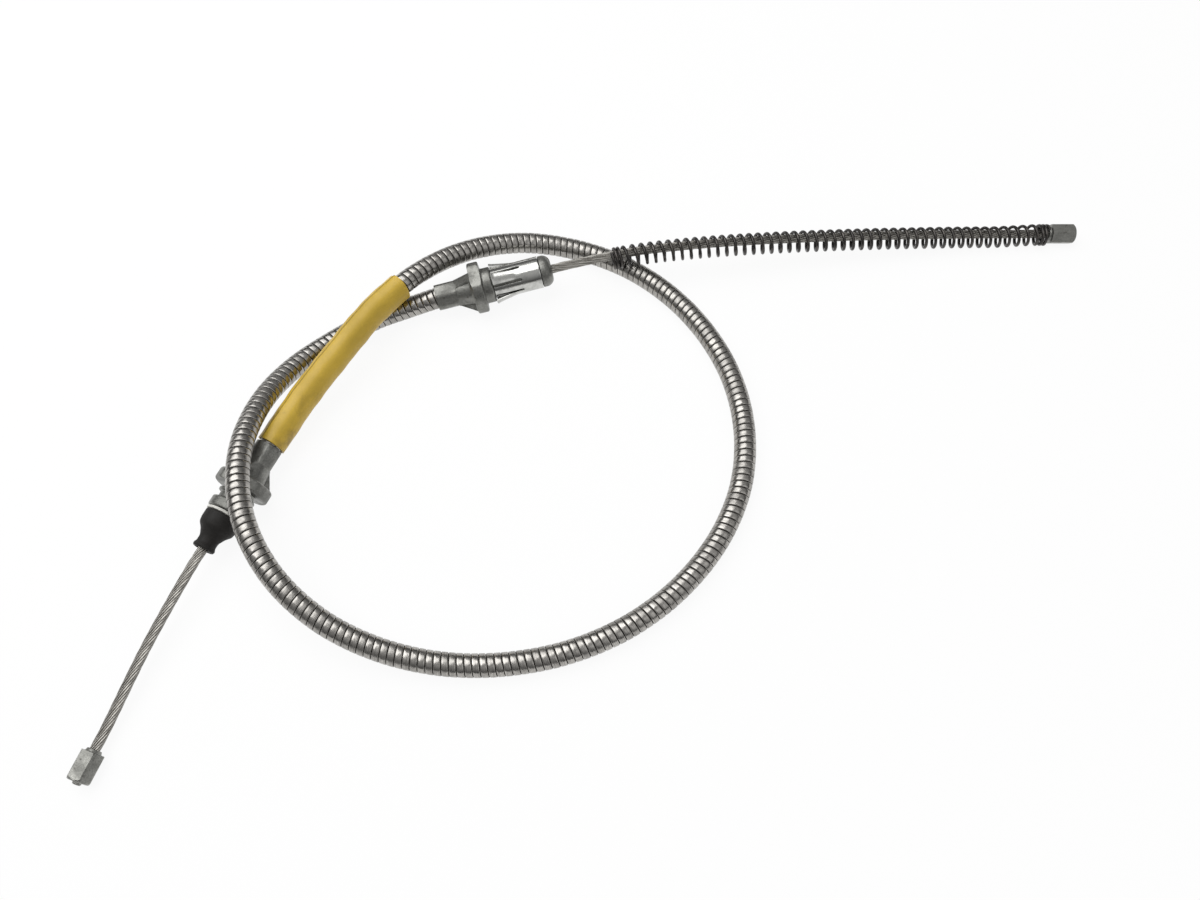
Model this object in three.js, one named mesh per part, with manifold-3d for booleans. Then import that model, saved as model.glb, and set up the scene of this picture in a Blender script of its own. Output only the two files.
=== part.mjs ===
// Parking brake cable: a stranded wire in a spiral-wound steel conduit, coiled once as it lies
// on a bench. Millimetres, +Z up. The origin is the centre of the footprint, at bench height.
import * as THREE from 'three';
import { mergeVertices } from 'three/addons/utils/BufferGeometryUtils.js';
import Module from 'manifold-3d';

const wasm = await Module();
wasm.setup();

// Driving sizes, in millimetres and degrees
const CLEARANCE = 0.3;            // air left between neighbouring pieces

const WIRE_RADIUS = 2.38;         // 3/16 inch wire rope
const LINER_BORE_RADIUS = 2.85;
const LINER_WALL = 0.7;
const ARMOUR_RADIUS = 5.55;       // 7/16 inch conduit
const ARMOUR_PITCH = 3.5;         // one turn of the wound strip
const ARMOUR_GROOVE = 0.45;       // depth of the step between two turns
const ARMOUR_CREST_SHARE = 0.84;  // part of each turn that is strip, the rest is the step
const ROUND_SIDES = 20;           // sides of what is turned
const BORE_SIDES = 10;
const WIRE_SIDES = 8;
const TUBE_SIDES = 7;             // sides of the liner and the armour
const RUN_STEP = 23;              // spacing of the sections along the wire and the liner

const SLEEVE_START = 1.5;         // from the face of neck B to the sleeve's end
const SLEEVE_LENGTH = 106;
const SLEEVE_SLACK = 0.65;        // looseness on the conduit, as a radius
const SLEEVE_THICKNESS = 0.75;
const SLEEVE_OVERLAP = 40;        // angle of the lapped seam
const SLEEVE_SEAM = -30;          // where the outer lap ends, from straight up
const SLEEVE_SIDES = 14;
const SLEEVE_STEP = 13;           // spacing of the sections along the sleeve

const FLANGE_RADIUS = 13.6;
const FLANGE_THICKNESS = 6;
const FLANGE_EDGE = 2;            // rounding of the flange's rim
const FLANGE_HALF_HEIGHT = 12;    // axis to each of the two flats of the flange
const NECK_FLATS = 13.4;          // across the crimped hexagon
const NECK_ROUND_RADIUS = 7.2;    // of the neck before it was crimped
const CONE_START_RADIUS = 7.05;
const CONE_END_RADIUS = 8.9;
const RIB_COUNT = 3;
const RIB_THICKNESS = 3.2;
const RIB_TOP_RADIUS = 12.2;      // where a rib meets the flange
const CONDUIT_DEPTH = 14;         // how far the conduit goes into a fitting

const A_NECK_LENGTH = 11;
const A_CONE_LENGTH = 8.6;
const A_COLLAR_RADIUS = 9.4;
const A_COLLAR_LENGTH = 5.2;
const A_BARREL_RADIUS = 7.1;
const A_NOSE_RADIUS = 8.3;
const A_NOSE_LENGTH = 6.2;
const A_MOUTH_RADIUS = 4.4;       // the nose's flat end
const A_MOUTH_EDGE = 1.6;         // width of the bevel round that end
const A_NOSE_STRAIGHT_SHARE = 0.45;
const A_NOSE_TAPER_SHARE = 0.75;  // part of the nose at which it has narrowed to this part of its radius
const A_NOSE_TAPER = 0.9;
const RETAINER_LENGTH = 25.6;
const RETAINER_RADIUS = 8.5;
const RETAINER_SHEET = 0.9;
const FINGER_COUNT = 4;
const FINGER_LENGTH = 15.5;
const FINGER_WIDTH = 5.6;
const FINGER_SLOT = 1.5;
const FINGER_FLARE = 2.2;         // how far a finger's tip stands out
const FINGER_BEND_SHARE = 0.8;    // part of a finger that bends out
const FINGER_TURN = 65;           // of the first finger, from straight up

const B_NECK_LENGTH = 11;
const B_CONE_LENGTH = 9;
const B_BARREL_RADIUS = 7.6;
const B_BARREL_LENGTH = 7.4;
const B_STEP_RADIUS = 9.1;        // the low ring on the barrel
const B_STEP_LENGTH = 1.6;
const B_STEP_PLACE = 2.3;         // from the flange to the ring, room for a bracket's plate
const B_BEAD_RADIUS = 9.6;
const B_BEAD_LENGTH = 5.2;
const B_BEAD_LAND = 0.2;          // half of the flat between the bead's two rounded edges
const BUSH_FLANGE_RADIUS = 9.1;
const BUSH_FLANGE_LENGTH = 1.3;
const BUSH_NOSE_RADIUS = 6.9;
const BUSH_NOSE_LENGTH = 8;
const BUSH_SPIGOT_RADIUS = 4.6;
const BUSH_SPIGOT_LENGTH = 6;
const BUSH_NOSE_BEVEL = 2;
const BOOT_LENGTH = 18;
const BOOT_RADIUS = 8.9;
const BOOT_SMALL_RADIUS = 4.8;
const BOOT_LIP_RADIUS = 5.5;
const BOOT_WALL = 1.7;
const BOOT_STRAIGHT_LENGTH = 4.5; // the boot's even stretch over the bush
const BOOT_EASE_LENGTH = 7;       // where it has drawn in by the ease
const BOOT_EASE = 0.5;
const BOOT_SHOULDER_RADIUS = 6.4; // where the shoulder turns into the neck
const BOOT_SHOULDER_PLACE = 1.4;  // the same, beyond the bush's nose
const BOOT_NECK_PLACE = 4.6;      // where the neck starts, beyond the bush's nose
const BOOT_LIP_LENGTH = 2.6;
const BOOT_LIP_EDGE = 1.2;        // length of the lip's widest stretch
const BOOT_LIP_ROUNDING = 0.4;

const STOP_FLATS = 10;
const STOP_LENGTH = 14.5;
const STOP_CHAMFER = 0.9;
const STOP_COLLAR = 1.4;          // the small cone that the wire goes in by
const STOP_COLLAR_RADIUS = 3.2;   // of the cone's small end
const STOP_NUB_RADIUS = 2.2;      // the upset end of the wire
const STOP_NUB_LENGTH = 1.2;
const STOP_BORE_DEPTH = 11;
const STOP_COLLAR_SIDES = 10;
const STOP_COLLAR_TAPER = 0.5;    // how much the cone widens towards the stop
const STOP_NUB_TAPER = 0.6;

const SPRING_RADIUS = 6;
const SPRING_WIRE_RADIUS = 1;
const SPRING_LENGTH = 246;
const SPRING_COILS = 46;          // open coils
const SPRING_DEAD_COILS = 2.5;    // closed coils at each end
const SPRING_COIL_STEPS = 6;
const SPRING_LEAN = 0.45;         // how far the spring hangs below the wire

// Where things lie on the bench: the middle of each neck's face and each stop's inner face.
// A heading turns from +X towards +Y, and a climb lifts the nose.
const NECK_A = { x: -103.6, y: 98.1, heading: 13.9, climb: 4.5 };
const NECK_B = { x: -180.5, y: 9.4, heading: 245.9, climb: 0 };
const STOP_A_PLACE = { x: 233.3, y: 144.3, heading: 0 };
const STOP_B_PLACE = { x: -239.2, y: -134.7, heading: 251 };

// The routes, chosen by hand, as [x, y, z] between the straight stretches
const CONDUIT_POINTS = [
  [-176.5, 17.4, 12.3],
  [-166.1, 36, 14.8],
  [-149.5, 60.7, 18.9],
  [-132.3, 85.5, 21.2],
  [-112.3, 107.8, 20],
  [-87.9, 125.1, 15.6],
  [-59.7, 133.9, 10.6],
  [-29.8, 132.1, 6.9],
  [-2, 121, 5.8],
  [21.6, 102.5, 5.68],
  [40, 78.6, 5.68],
  [52.1, 51, 5.68],
  [56.6, 21.3, 5.68],
  [53.1, -8.5, 5.68],
  [41.2, -36, 5.68],
  [22.1, -60.1, 5.68],
  [-1.7, -78.6, 5.68],
  [-28.9, -90.9, 5.68],
  [-58.5, -97, 5.8],
  [-88.5, -97.3, 7.4],
  [-117.9, -91.3, 11.2],
  [-144.5, -79.1, 17],
  [-166.7, -59.8, 24],
  [-181.6, -34.2, 29.2],
  [-187.5, -4.7, 29.6],
  [-185.7, 24.5, 22.4],
  [-176.3, 51.4, 12.4],
  [-157.1, 73.7, 6.4],
  [-136.3, 87.7, 5.68],
  [-118.3, 94.3, 7.4],
];
const TAIL_A_POINTS = [
  [-14.4, 119.4, 17.5],
  [5, 123.1, 18.3],
  [37.5, 127.8, 17.6],
  [70.5, 131.8, 15.9],
  [120.7, 137, 12.3],
  [171.9, 141.1, 8.6],
  [212.1, 143.7, 5.7],
];
const TAIL_B_POINTS = [
  [-223.1, -88.1, 8.6],
];

// Sizes that follow
const LINER_RADIUS = LINER_BORE_RADIUS + LINER_WALL;
const ARMOUR_BORE_RADIUS = LINER_RADIUS + CLEARANCE;
const NECK_BORE_RADIUS = ARMOUR_RADIUS + CLEARANCE;
const LINER_HOLE_RADIUS = LINER_RADIUS + CLEARANCE;
const WIRE_HOLE_RADIUS = WIRE_RADIUS + CLEARANCE;
const A_FLANGE_PLACE = A_NECK_LENGTH + A_CONE_LENGTH;
const A_COLLAR_PLACE = A_FLANGE_PLACE + FLANGE_THICKNESS;
const A_BARREL_PLACE = A_COLLAR_PLACE + A_COLLAR_LENGTH;
const A_NOSE_PLACE = A_BARREL_PLACE + RETAINER_LENGTH + 2 * CLEARANCE;
const A_LENGTH = A_NOSE_PLACE + A_NOSE_LENGTH;
const B_FLANGE_PLACE = B_NECK_LENGTH + B_CONE_LENGTH;
const B_BARREL_PLACE = B_FLANGE_PLACE + FLANGE_THICKNESS;
const B_BEAD_PLACE = B_BARREL_PLACE + B_BARREL_LENGTH;
const B_BODY_LENGTH = B_BEAD_PLACE + B_BEAD_LENGTH;
const BUSH_PLACE = B_BODY_LENGTH + CLEARANCE;
const BOOT_PLACE = BUSH_PLACE + BUSH_FLANGE_LENGTH + CLEARANCE;
const B_LENGTH = BOOT_PLACE + BOOT_LENGTH;
const STOP_HEIGHT = STOP_FLATS / 2;

// Materials
function finish(color, roughness, metalness) {
  return new THREE.MeshStandardMaterial({ color, roughness, metalness });
}
const zinc = finish(0x9b9a96, 0.45, 0.9);
const brightSteel = finish(0xc4c4c2, 0.25, 1);
const conduitSteel = finish(0x8b8883, 0.35, 1);
const wireSteel = finish(0xa9a69e, 0.4, 0.9);
const springSteel = finish(0x2b2927, 0.5, 0.6);
const nylon = finish(0xe4e2da, 0.5, 0);
const rubber = finish(0x232120, 0.8, 0);
const yellowPlastic = finish(0xd0ab32, 0.45, 0);
const linerPlastic = finish(0xcfd0cc, 0.6, 0);

const radians = (degrees) => (degrees * Math.PI) / 180;
const LOWEST_CORNER = Math.PI;    // a tube with an odd number of sides rests on a corner
const OVERRUN = 1;                // how far a cut, or a joined piece's root, runs past a face

// Solids

// A turned piece about +Y from [radius, place] corners that start and end on the axis or close up
function turned(corners, sides, firstCorner = 0) {
  const profile = corners.map(([radius, place]) => new THREE.Vector2(radius, place));
  return welded(new THREE.LatheGeometry(profile, sides, firstCorner));
}

// One closed mesh: shared vertices merged and the faces that collapsed taken out
function welded(geometry) {
  geometry.deleteAttribute('normal');
  geometry.deleteAttribute('uv');
  const mesh = mergeVertices(geometry, 1e-4);
  const index = mesh.index.array;
  const kept = [];
  for (let i = 0; i < index.length; i += 3) {
    const [a, b, c] = [index[i], index[i + 1], index[i + 2]];
    if (a !== b && b !== c && c !== a) kept.push(a, b, c);
  }
  mesh.setIndex(kept);
  return mesh;
}

function toSolid(geometry) {
  return new wasm.Manifold(new wasm.Mesh({
    numProp: 3,
    vertProperties: new Float32Array(geometry.attributes.position.array),
    triVerts: new Uint32Array(geometry.index.array),
  }));
}

function toGeometry(solid) {
  const mesh = solid.getMesh();
  const geometry = new THREE.BufferGeometry();
  geometry.setAttribute('position', new THREE.BufferAttribute(new Float32Array(mesh.vertProperties), 3));
  geometry.setIndex(new THREE.BufferAttribute(new Uint32Array(mesh.triVerts), 1));
  return geometry;
}

const join = (pieces) => pieces.map(toSolid).reduce((whole, piece) => whole.add(piece));
const cut = (solid, pieces) => pieces.map(toSolid).reduce((rest, piece) => rest.subtract(piece), solid);

// A hexagonal prism along +Y with a flat on top
function hexagon(flats, from, to) {
  const corner = flats / Math.sqrt(3);
  const prism = new THREE.CylinderGeometry(corner, corner, to - from, 6);
  prism.rotateY(radians(30));
  prism.translate(0, (from + to) / 2, 0);
  return welded(prism);
}

// A bore's radius is to its flats, so that a round piece clears it all round
function hole(radius, from, to, sides = BORE_SIDES) {
  const corner = radius / Math.cos(Math.PI / sides);
  return turned([[0, from], [corner, from], [corner, to], [0, to]], sides);
}

// Routes

// A straight axis on the bench, from a face outwards
function axisOf({ x, y, heading, climb = 0 }, height) {
  const turn = radians(heading);
  const rise = radians(climb);
  const direction = new THREE.Vector3(
    Math.cos(turn) * Math.cos(rise), Math.sin(turn) * Math.cos(rise), Math.sin(rise));
  const start = new THREE.Vector3(x, y, height);
  return { direction, at: (along) => start.clone().addScaledVector(direction, along) };
}

// A flange lies on the edge of its lower flat, so a climbing axis starts lower than a level one
function flangeRestHeight({ climb }, flangePlace) {
  const rise = radians(climb);
  return FLANGE_HALF_HEIGHT * Math.cos(rise) - flangePlace * Math.sin(rise);
}

const axisA = axisOf(NECK_A, flangeRestHeight(NECK_A, A_FLANGE_PLACE));
const axisB = axisOf(NECK_B, flangeRestHeight(NECK_B, B_FLANGE_PLACE));
const axisStopA = axisOf(STOP_A_PLACE, STOP_HEIGHT);
const axisStopB = axisOf(STOP_B_PLACE, STOP_HEIGHT);
const LEAD = 8;                   // straight lead of a curve out of a fitting

const points = (list) => list.map(([x, y, z]) => new THREE.Vector3(x, y, z));
function smooth(list) {
  const curve = new THREE.CatmullRomCurve3(list, false, 'centripetal');
  curve.arcLengthDivisions = 1200;
  return curve;
}

const conduitCurve = smooth([axisB.at(0), ...points(CONDUIT_POINTS), axisA.at(0)]);
const tailA = smooth([axisA.at(A_LENGTH), axisA.at(A_LENGTH + LEAD), ...points(TAIL_A_POINTS),
  axisStopA.at(-LEAD), axisStopA.at(0)]);
const tailB = smooth([axisStopB.at(0), axisStopB.at(-LEAD), ...points(TAIL_B_POINTS),
  axisB.at(B_LENGTH + LEAD), axisB.at(B_LENGTH)]);

// A run is a chain of curves, measured by length, with a frame (across, along, up) at each place
function runOf(curves) {
  const chain = new THREE.CurvePath();
  curves.forEach((curve) => chain.add(curve));
  const length = chain.getLength();
  const frameAt = (place) => {
    const share = THREE.MathUtils.clamp(place / length, 0, 1);
    const centre = chain.getPoint(share);
    const along = chain.getTangent(share);
    const across = along.clone().cross(new THREE.Vector3(0, 0, 1)).normalize();
    const up = across.clone().cross(along);
    return { centre, across, up };
  };
  return { length, frameAt, ends: chain.getCurveLengths() };
}

const wireRun = runOf([
  new THREE.LineCurve3(axisStopB.at(STOP_BORE_DEPTH - CLEARANCE), axisStopB.at(0)),
  tailB,
  new THREE.LineCurve3(axisB.at(B_LENGTH), axisB.at(0)),
  conduitCurve,
  new THREE.LineCurve3(axisA.at(0), axisA.at(A_LENGTH)),
  tailA,
  new THREE.LineCurve3(axisStopA.at(0), axisStopA.at(STOP_BORE_DEPTH - CLEARANCE)),
]);
const [, , WIRE_AT_NECK_B, WIRE_AT_NECK_A, WIRE_AT_MOUTH_A, WIRE_AT_STOP_A] = wireRun.ends;

// Bends a piece that was made straight along +Y onto a route. The shift moves it off the route.
function bend(geometry, frameAt, start = 0, shift = () => [0, 0]) {
  const position = geometry.attributes.position;
  const vertex = new THREE.Vector3();
  for (let i = 0; i < position.count; i += 1) {
    vertex.fromBufferAttribute(position, i);
    const place = start + vertex.y;
    const { centre, across, up } = frameAt(place);
    const [side, lift] = shift(place);
    centre.addScaledVector(across, vertex.x + side).addScaledVector(up, vertex.z + lift);
    position.setXYZ(i, centre.x, centre.y, centre.z);
  }
  return geometry;
}

// Places from start to end, closer than the step and evenly spread
function spread(start, end, step = RUN_STEP) {
  const count = Math.ceil((end - start) / step);
  return Array.from({ length: count + 1 }, (_, i) => start + ((end - start) * i) / count);
}

const curvedPlaces = spread(WIRE_AT_NECK_B, WIRE_AT_NECK_A);

// Pieces of the cable

function innerWire() {
  const places = [
    ...spread(wireRun.ends[0], wireRun.ends[1]),
    ...curvedPlaces,
    ...spread(WIRE_AT_MOUTH_A, WIRE_AT_STOP_A),
  ];
  const side = [0, ...places, wireRun.length].map((place) => [WIRE_RADIUS, place]);
  return bend(turned([[0, 0], ...side, [0, wireRun.length]], WIRE_SIDES), wireRun.frameAt);
}

function conduitLiner() {
  const start = WIRE_AT_NECK_B - (B_BODY_LENGTH - BUSH_SPIGOT_LENGTH - 2 * CLEARANCE);
  const end = WIRE_AT_NECK_A + A_LENGTH - A_NOSE_LENGTH;
  const places = [start, ...curvedPlaces, end];
  const outside = places.map((place) => [LINER_RADIUS, place]);
  const inside = places.map((place) => [LINER_BORE_RADIUS, place]).reverse();
  const tube = turned([...outside, ...inside, outside[0]], TUBE_SIDES, LOWEST_CORNER);
  return bend(tube, wireRun.frameAt);
}

// The armour is turned with a stepped outside, and each vertex is then moved along by its angle,
// so that the steps join up into one long helix. Its two ends are ground flat.
function conduitArmour() {
  const start = WIRE_AT_NECK_B - CONDUIT_DEPTH;
  const end = WIRE_AT_NECK_A + CONDUIT_DEPTH;
  const length = end - start;
  const turns = Math.ceil(length / ARMOUR_PITCH) + 1;
  const low = ARMOUR_RADIUS - ARMOUR_GROOVE;
  const outside = [];
  for (let turn = -1; turn < turns; turn += 1) {
    outside.push([ARMOUR_RADIUS, turn * ARMOUR_PITCH]);
    outside.push([low, (turn + ARMOUR_CREST_SHARE) * ARMOUR_PITCH]);
  }
  const borePlaces = [start, ...curvedPlaces, end].reverse();
  const bore = borePlaces.map((place) => [ARMOUR_BORE_RADIUS, place - start]);
  const corners = [...outside, ...bore, outside[0]];
  const profile = corners.map(([radius, place]) => new THREE.Vector2(radius, place));
  const tube = new THREE.LatheGeometry(profile, TUBE_SIDES, LOWEST_CORNER);
  const position = tube.attributes.position;
  for (let i = 0; i < position.count; i += 1) {
    const [x, y, z] = [position.getX(i), position.getY(i), position.getZ(i)];
    const radius = Math.hypot(x, z);
    if (radius < (low + ARMOUR_BORE_RADIUS) / 2) continue;
    const side = Math.floor(i / profile.length);
    const place = y + (ARMOUR_PITCH * side) / TUBE_SIDES;
    const inBody = place > 0 && place < length;
    const scale = inBody ? 1 : low / radius;
    position.setXYZ(i, x * scale, THREE.MathUtils.clamp(place, 0, length), z * scale);
  }
  return bend(welded(tube), wireRun.frameAt, start);
}

// A sheet rolled round the conduit past its own edge, so that the last stretch laps the first.
// The outline is drawn upside down, because laying the roll along +Y turns it over.
function idSleeve() {
  const inner = (ARMOUR_RADIUS + SLEEVE_SLACK + CLEARANCE) / Math.cos(Math.PI / SLEEVE_SIDES);
  const step = SLEEVE_THICKNESS + CLEARANCE / 2;
  const lap = radians(SLEEVE_OVERLAP);
  const total = 2 * Math.PI + lap;
  const rise = (turn) => THREE.MathUtils.smoothstep(turn, total - 2 * lap, total - lap);
  const edgePoint = (i, thickness) => {
    const turn = (total * i) / SLEEVE_SIDES;
    const radius = inner + step * rise(turn) + thickness;
    const angle = radians(SLEEVE_SEAM) + total - turn;
    return new THREE.Vector2(radius * Math.sin(angle), -radius * Math.cos(angle));
  };
  const outline = [];
  for (let i = 0; i <= SLEEVE_SIDES; i += 1) outline.push(edgePoint(i, 0));
  for (let i = SLEEVE_SIDES; i >= 0; i -= 1) outline.push(edgePoint(i, SLEEVE_THICKNESS));
  const steps = Math.round(SLEEVE_LENGTH / SLEEVE_STEP);
  const roll = new THREE.ExtrudeGeometry(new THREE.Shape(outline), {
    depth: SLEEVE_LENGTH, steps, bevelEnabled: false,
  });
  roll.rotateX(radians(-90));
  const start = WIRE_AT_NECK_B + SLEEVE_START;
  return bend(welded(roll), wireRun.frameAt, start, () => [0, -SLEEVE_SLACK]);
}

// Pieces of the end fittings, made about +Y from the neck's face

// The crimped neck, the cone, the ribs and the flange with its two flats
function fittingHead(neckLength, coneLength) {
  const flangeStart = neckLength + coneLength;
  const flangeEnd = flangeStart + FLANGE_THICKNESS;
  const round = hole(NECK_ROUND_RADIUS, -OVERRUN, neckLength + 2 * OVERRUN, ROUND_SIDES);
  const neck = toSolid(hexagon(NECK_FLATS, 0, neckLength + OVERRUN)).intersect(toSolid(round));
  const cone = turned([
    [0, neckLength - OVERRUN],
    [CONE_START_RADIUS, neckLength],
    [CONE_END_RADIUS, flangeStart],
    [CONE_END_RADIUS, flangeStart + OVERRUN],
    [0, flangeStart + OVERRUN],
  ], ROUND_SIDES);
  const rim = roundedDisc(FLANGE_RADIUS, flangeStart, flangeEnd, FLANGE_EDGE, ROUND_SIDES);
  const ribs = Array.from({ length: RIB_COUNT }, (_, i) =>
    rib(neckLength, flangeStart + OVERRUN).rotateY((2 * Math.PI * i) / RIB_COUNT));
  const flats = [1, -1].map((side) => {
    const depth = FLANGE_RADIUS - FLANGE_HALF_HEIGHT + OVERRUN;
    const block = new THREE.BoxGeometry(2 * FLANGE_RADIUS, FLANGE_THICKNESS + 2 * OVERRUN, depth);
    block.translate(0, (flangeStart + flangeEnd) / 2, side * (FLANGE_HALF_HEIGHT + depth / 2));
    return welded(block);
  });
  const flange = cut(toSolid(rim), flats);
  const core = neck.add(toSolid(cone));
  return ribs.map(toSolid).reduce((whole, piece) => whole.add(piece), core).add(flange);
}

// A rib from the cone's start up to the flange, in the plane of +Z
function rib(start, end) {
  const side = new THREE.Shape();
  side.moveTo(start, 0);
  side.lineTo(start, CONE_START_RADIUS - CLEARANCE);
  side.lineTo(end, RIB_TOP_RADIUS);
  side.lineTo(end, 0);
  const web = new THREE.ExtrudeGeometry(side, { depth: RIB_THICKNESS, bevelEnabled: false });
  web.translate(0, 0, -RIB_THICKNESS / 2);
  web.rotateX(radians(90));
  web.rotateZ(radians(90));
  return welded(web);
}

function roundedDisc(radius, from, to, edge, sides) {
  const corners = [[0, from]];
  const turns = 2;
  for (let i = 0; i <= turns; i += 1) {
    const angle = (Math.PI / 2) * (i / turns);
    corners.push([radius - edge + edge * Math.sin(angle), from + edge - edge * Math.cos(angle)]);
  }
  for (let i = 0; i <= turns; i += 1) {
    const angle = (Math.PI / 2) * (i / turns);
    corners.push([radius - edge + edge * Math.cos(angle), to - edge + edge * Math.sin(angle)]);
  }
  corners.push([0, to]);
  return turned(corners, sides);
}

function fittingABody() {
  const collarEnd = A_COLLAR_PLACE + A_COLLAR_LENGTH;
  const tail = turned([
    [0, A_COLLAR_PLACE - OVERRUN],
    [A_COLLAR_RADIUS, A_COLLAR_PLACE - OVERRUN],
    [A_COLLAR_RADIUS, collarEnd],
    [A_BARREL_RADIUS, collarEnd],
    [A_BARREL_RADIUS, A_NOSE_PLACE],
    [A_NOSE_RADIUS, A_NOSE_PLACE],
    [A_NOSE_RADIUS, A_NOSE_PLACE + A_NOSE_LENGTH * A_NOSE_STRAIGHT_SHARE],
    [A_NOSE_RADIUS * A_NOSE_TAPER, A_NOSE_PLACE + A_NOSE_LENGTH * A_NOSE_TAPER_SHARE],
    [A_MOUTH_RADIUS + A_MOUTH_EDGE, A_LENGTH - CLEARANCE],
    [A_MOUTH_RADIUS, A_LENGTH],
    [0, A_LENGTH],
  ], ROUND_SIDES);
  const linerEnd = A_LENGTH - A_NOSE_LENGTH + CLEARANCE;
  const body = fittingHead(A_NECK_LENGTH, A_CONE_LENGTH).add(toSolid(tail));
  return toGeometry(cut(body, [
    hole(NECK_BORE_RADIUS, -OVERRUN, CONDUIT_DEPTH + CLEARANCE),
    hole(LINER_HOLE_RADIUS, 0, linerEnd),
    hole(WIRE_HOLE_RADIUS, linerEnd - OVERRUN, A_LENGTH + OVERRUN),
  ]));
}

// The sheet sleeve: slots are cut on both sides of each finger, and the fingers' tips bend out
function fittingARetainer() {
  const start = A_BARREL_PLACE + CLEARANCE;
  const end = start + RETAINER_LENGTH;
  const inner = RETAINER_RADIUS - RETAINER_SHEET;
  const bendPlace = start + FINGER_LENGTH * FINGER_BEND_SHARE;
  const levels = [start, (start + bendPlace) / 2, bendPlace, end];
  const outside = levels.map((y) => [RETAINER_RADIUS, y]);
  const inside = levels.map((y) => [inner, y]).reverse();
  const sheet = turned([...outside, ...inside, outside[0]], ROUND_SIDES);
  const slots = [];
  const fingerStep = 360 / FINGER_COUNT;
  const fingerAngles = Array.from({ length: FINGER_COUNT }, (_, i) => FINGER_TURN + fingerStep * i);
  const halfAngle = (FINGER_WIDTH + FINGER_SLOT) / 2 / RETAINER_RADIUS;
  fingerAngles.forEach((angle) => [-1, 1].forEach((side) => {
    const cutter = slot(start - OVERRUN, start + FINGER_LENGTH);
    slots.push(cutter.rotateY(radians(angle) + side * halfAngle));
  }));
  const piece = toGeometry(cut(toSolid(sheet), slots));
  const position = piece.attributes.position;
  for (let i = 0; i < position.count; i += 1) {
    const [x, y, z] = [position.getX(i), position.getY(i), position.getZ(i)];
    const angle = Math.atan2(x, z);
    const onFinger = fingerAngles.some((turn) => {
      const off = angle - radians(turn);
      return Math.abs(Math.atan2(Math.sin(off), Math.cos(off))) < halfAngle;
    });
    if (!onFinger || y > bendPlace) continue;
    const radius = Math.hypot(x, z);
    const flare = FINGER_FLARE * ((bendPlace - y) / (bendPlace - start));
    const scale = (radius + flare) / radius;
    position.setXYZ(i, x * scale, y, z * scale);
  }
  return piece;
}

// A slot cutter with a round end, through the sheet on the +Z side
function slot(from, to) {
  const half = FINGER_SLOT / 2;
  const outline = new THREE.Shape();
  outline.moveTo(-half, from);
  outline.lineTo(half, from);
  outline.lineTo(half, to - half);
  outline.absarc(0, to - half, half, 0, Math.PI, false);
  outline.lineTo(-half, from);
  const cutter = new THREE.ExtrudeGeometry(outline, {
    depth: RETAINER_RADIUS, curveSegments: 3, bevelEnabled: false,
  });
  cutter.translate(0, 0, RETAINER_RADIUS / 2);
  return welded(cutter);
}

function fittingBBody() {
  const stepStart = B_BARREL_PLACE + B_STEP_PLACE;
  const stepEnd = stepStart + B_STEP_LENGTH;
  const barrel = turned([
    [0, B_BARREL_PLACE - OVERRUN],
    [B_BARREL_RADIUS, B_BARREL_PLACE - OVERRUN],
    [B_BARREL_RADIUS, stepStart],
    [B_STEP_RADIUS, stepStart],
    [B_STEP_RADIUS, stepEnd],
    [B_BARREL_RADIUS, stepEnd],
    [B_BARREL_RADIUS, B_BEAD_PLACE + OVERRUN],
    [0, B_BEAD_PLACE + OVERRUN],
  ], ROUND_SIDES);
  const beadEdge = B_BEAD_LENGTH / 2 - B_BEAD_LAND;
  const bead = roundedDisc(B_BEAD_RADIUS, B_BEAD_PLACE, B_BODY_LENGTH, beadEdge, ROUND_SIDES);
  const body = fittingHead(B_NECK_LENGTH, B_CONE_LENGTH).add(toSolid(barrel)).add(toSolid(bead));
  const spigotEnd = B_BODY_LENGTH - BUSH_SPIGOT_LENGTH - CLEARANCE;
  return toGeometry(cut(body, [
    hole(NECK_BORE_RADIUS, -OVERRUN, CONDUIT_DEPTH + CLEARANCE),
    hole(LINER_HOLE_RADIUS, 0, B_BODY_LENGTH - OVERRUN),
    hole(BUSH_SPIGOT_RADIUS + CLEARANCE, spigotEnd, B_BODY_LENGTH + OVERRUN),
  ]));
}

// The nylon bush: a spigot in the body, a thin flange that shows, and a nose that holds the boot
function fittingBBush() {
  const flangeEnd = BUSH_PLACE + BUSH_FLANGE_LENGTH;
  const noseEnd = flangeEnd + BUSH_NOSE_LENGTH;
  const spigotEnd = BUSH_PLACE - BUSH_SPIGOT_LENGTH;
  return turned([
    [WIRE_HOLE_RADIUS, spigotEnd],
    [BUSH_SPIGOT_RADIUS, spigotEnd],
    [BUSH_SPIGOT_RADIUS, BUSH_PLACE],
    [BUSH_FLANGE_RADIUS, BUSH_PLACE],
    [BUSH_FLANGE_RADIUS, flangeEnd],
    [BUSH_NOSE_RADIUS, flangeEnd],
    [BUSH_NOSE_RADIUS, noseEnd - BUSH_NOSE_BEVEL],
    [BUSH_NOSE_RADIUS - BUSH_NOSE_BEVEL, noseEnd],
    [WIRE_HOLE_RADIUS, noseEnd],
    [WIRE_HOLE_RADIUS, spigotEnd],
  ], BORE_SIDES);
}

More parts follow.
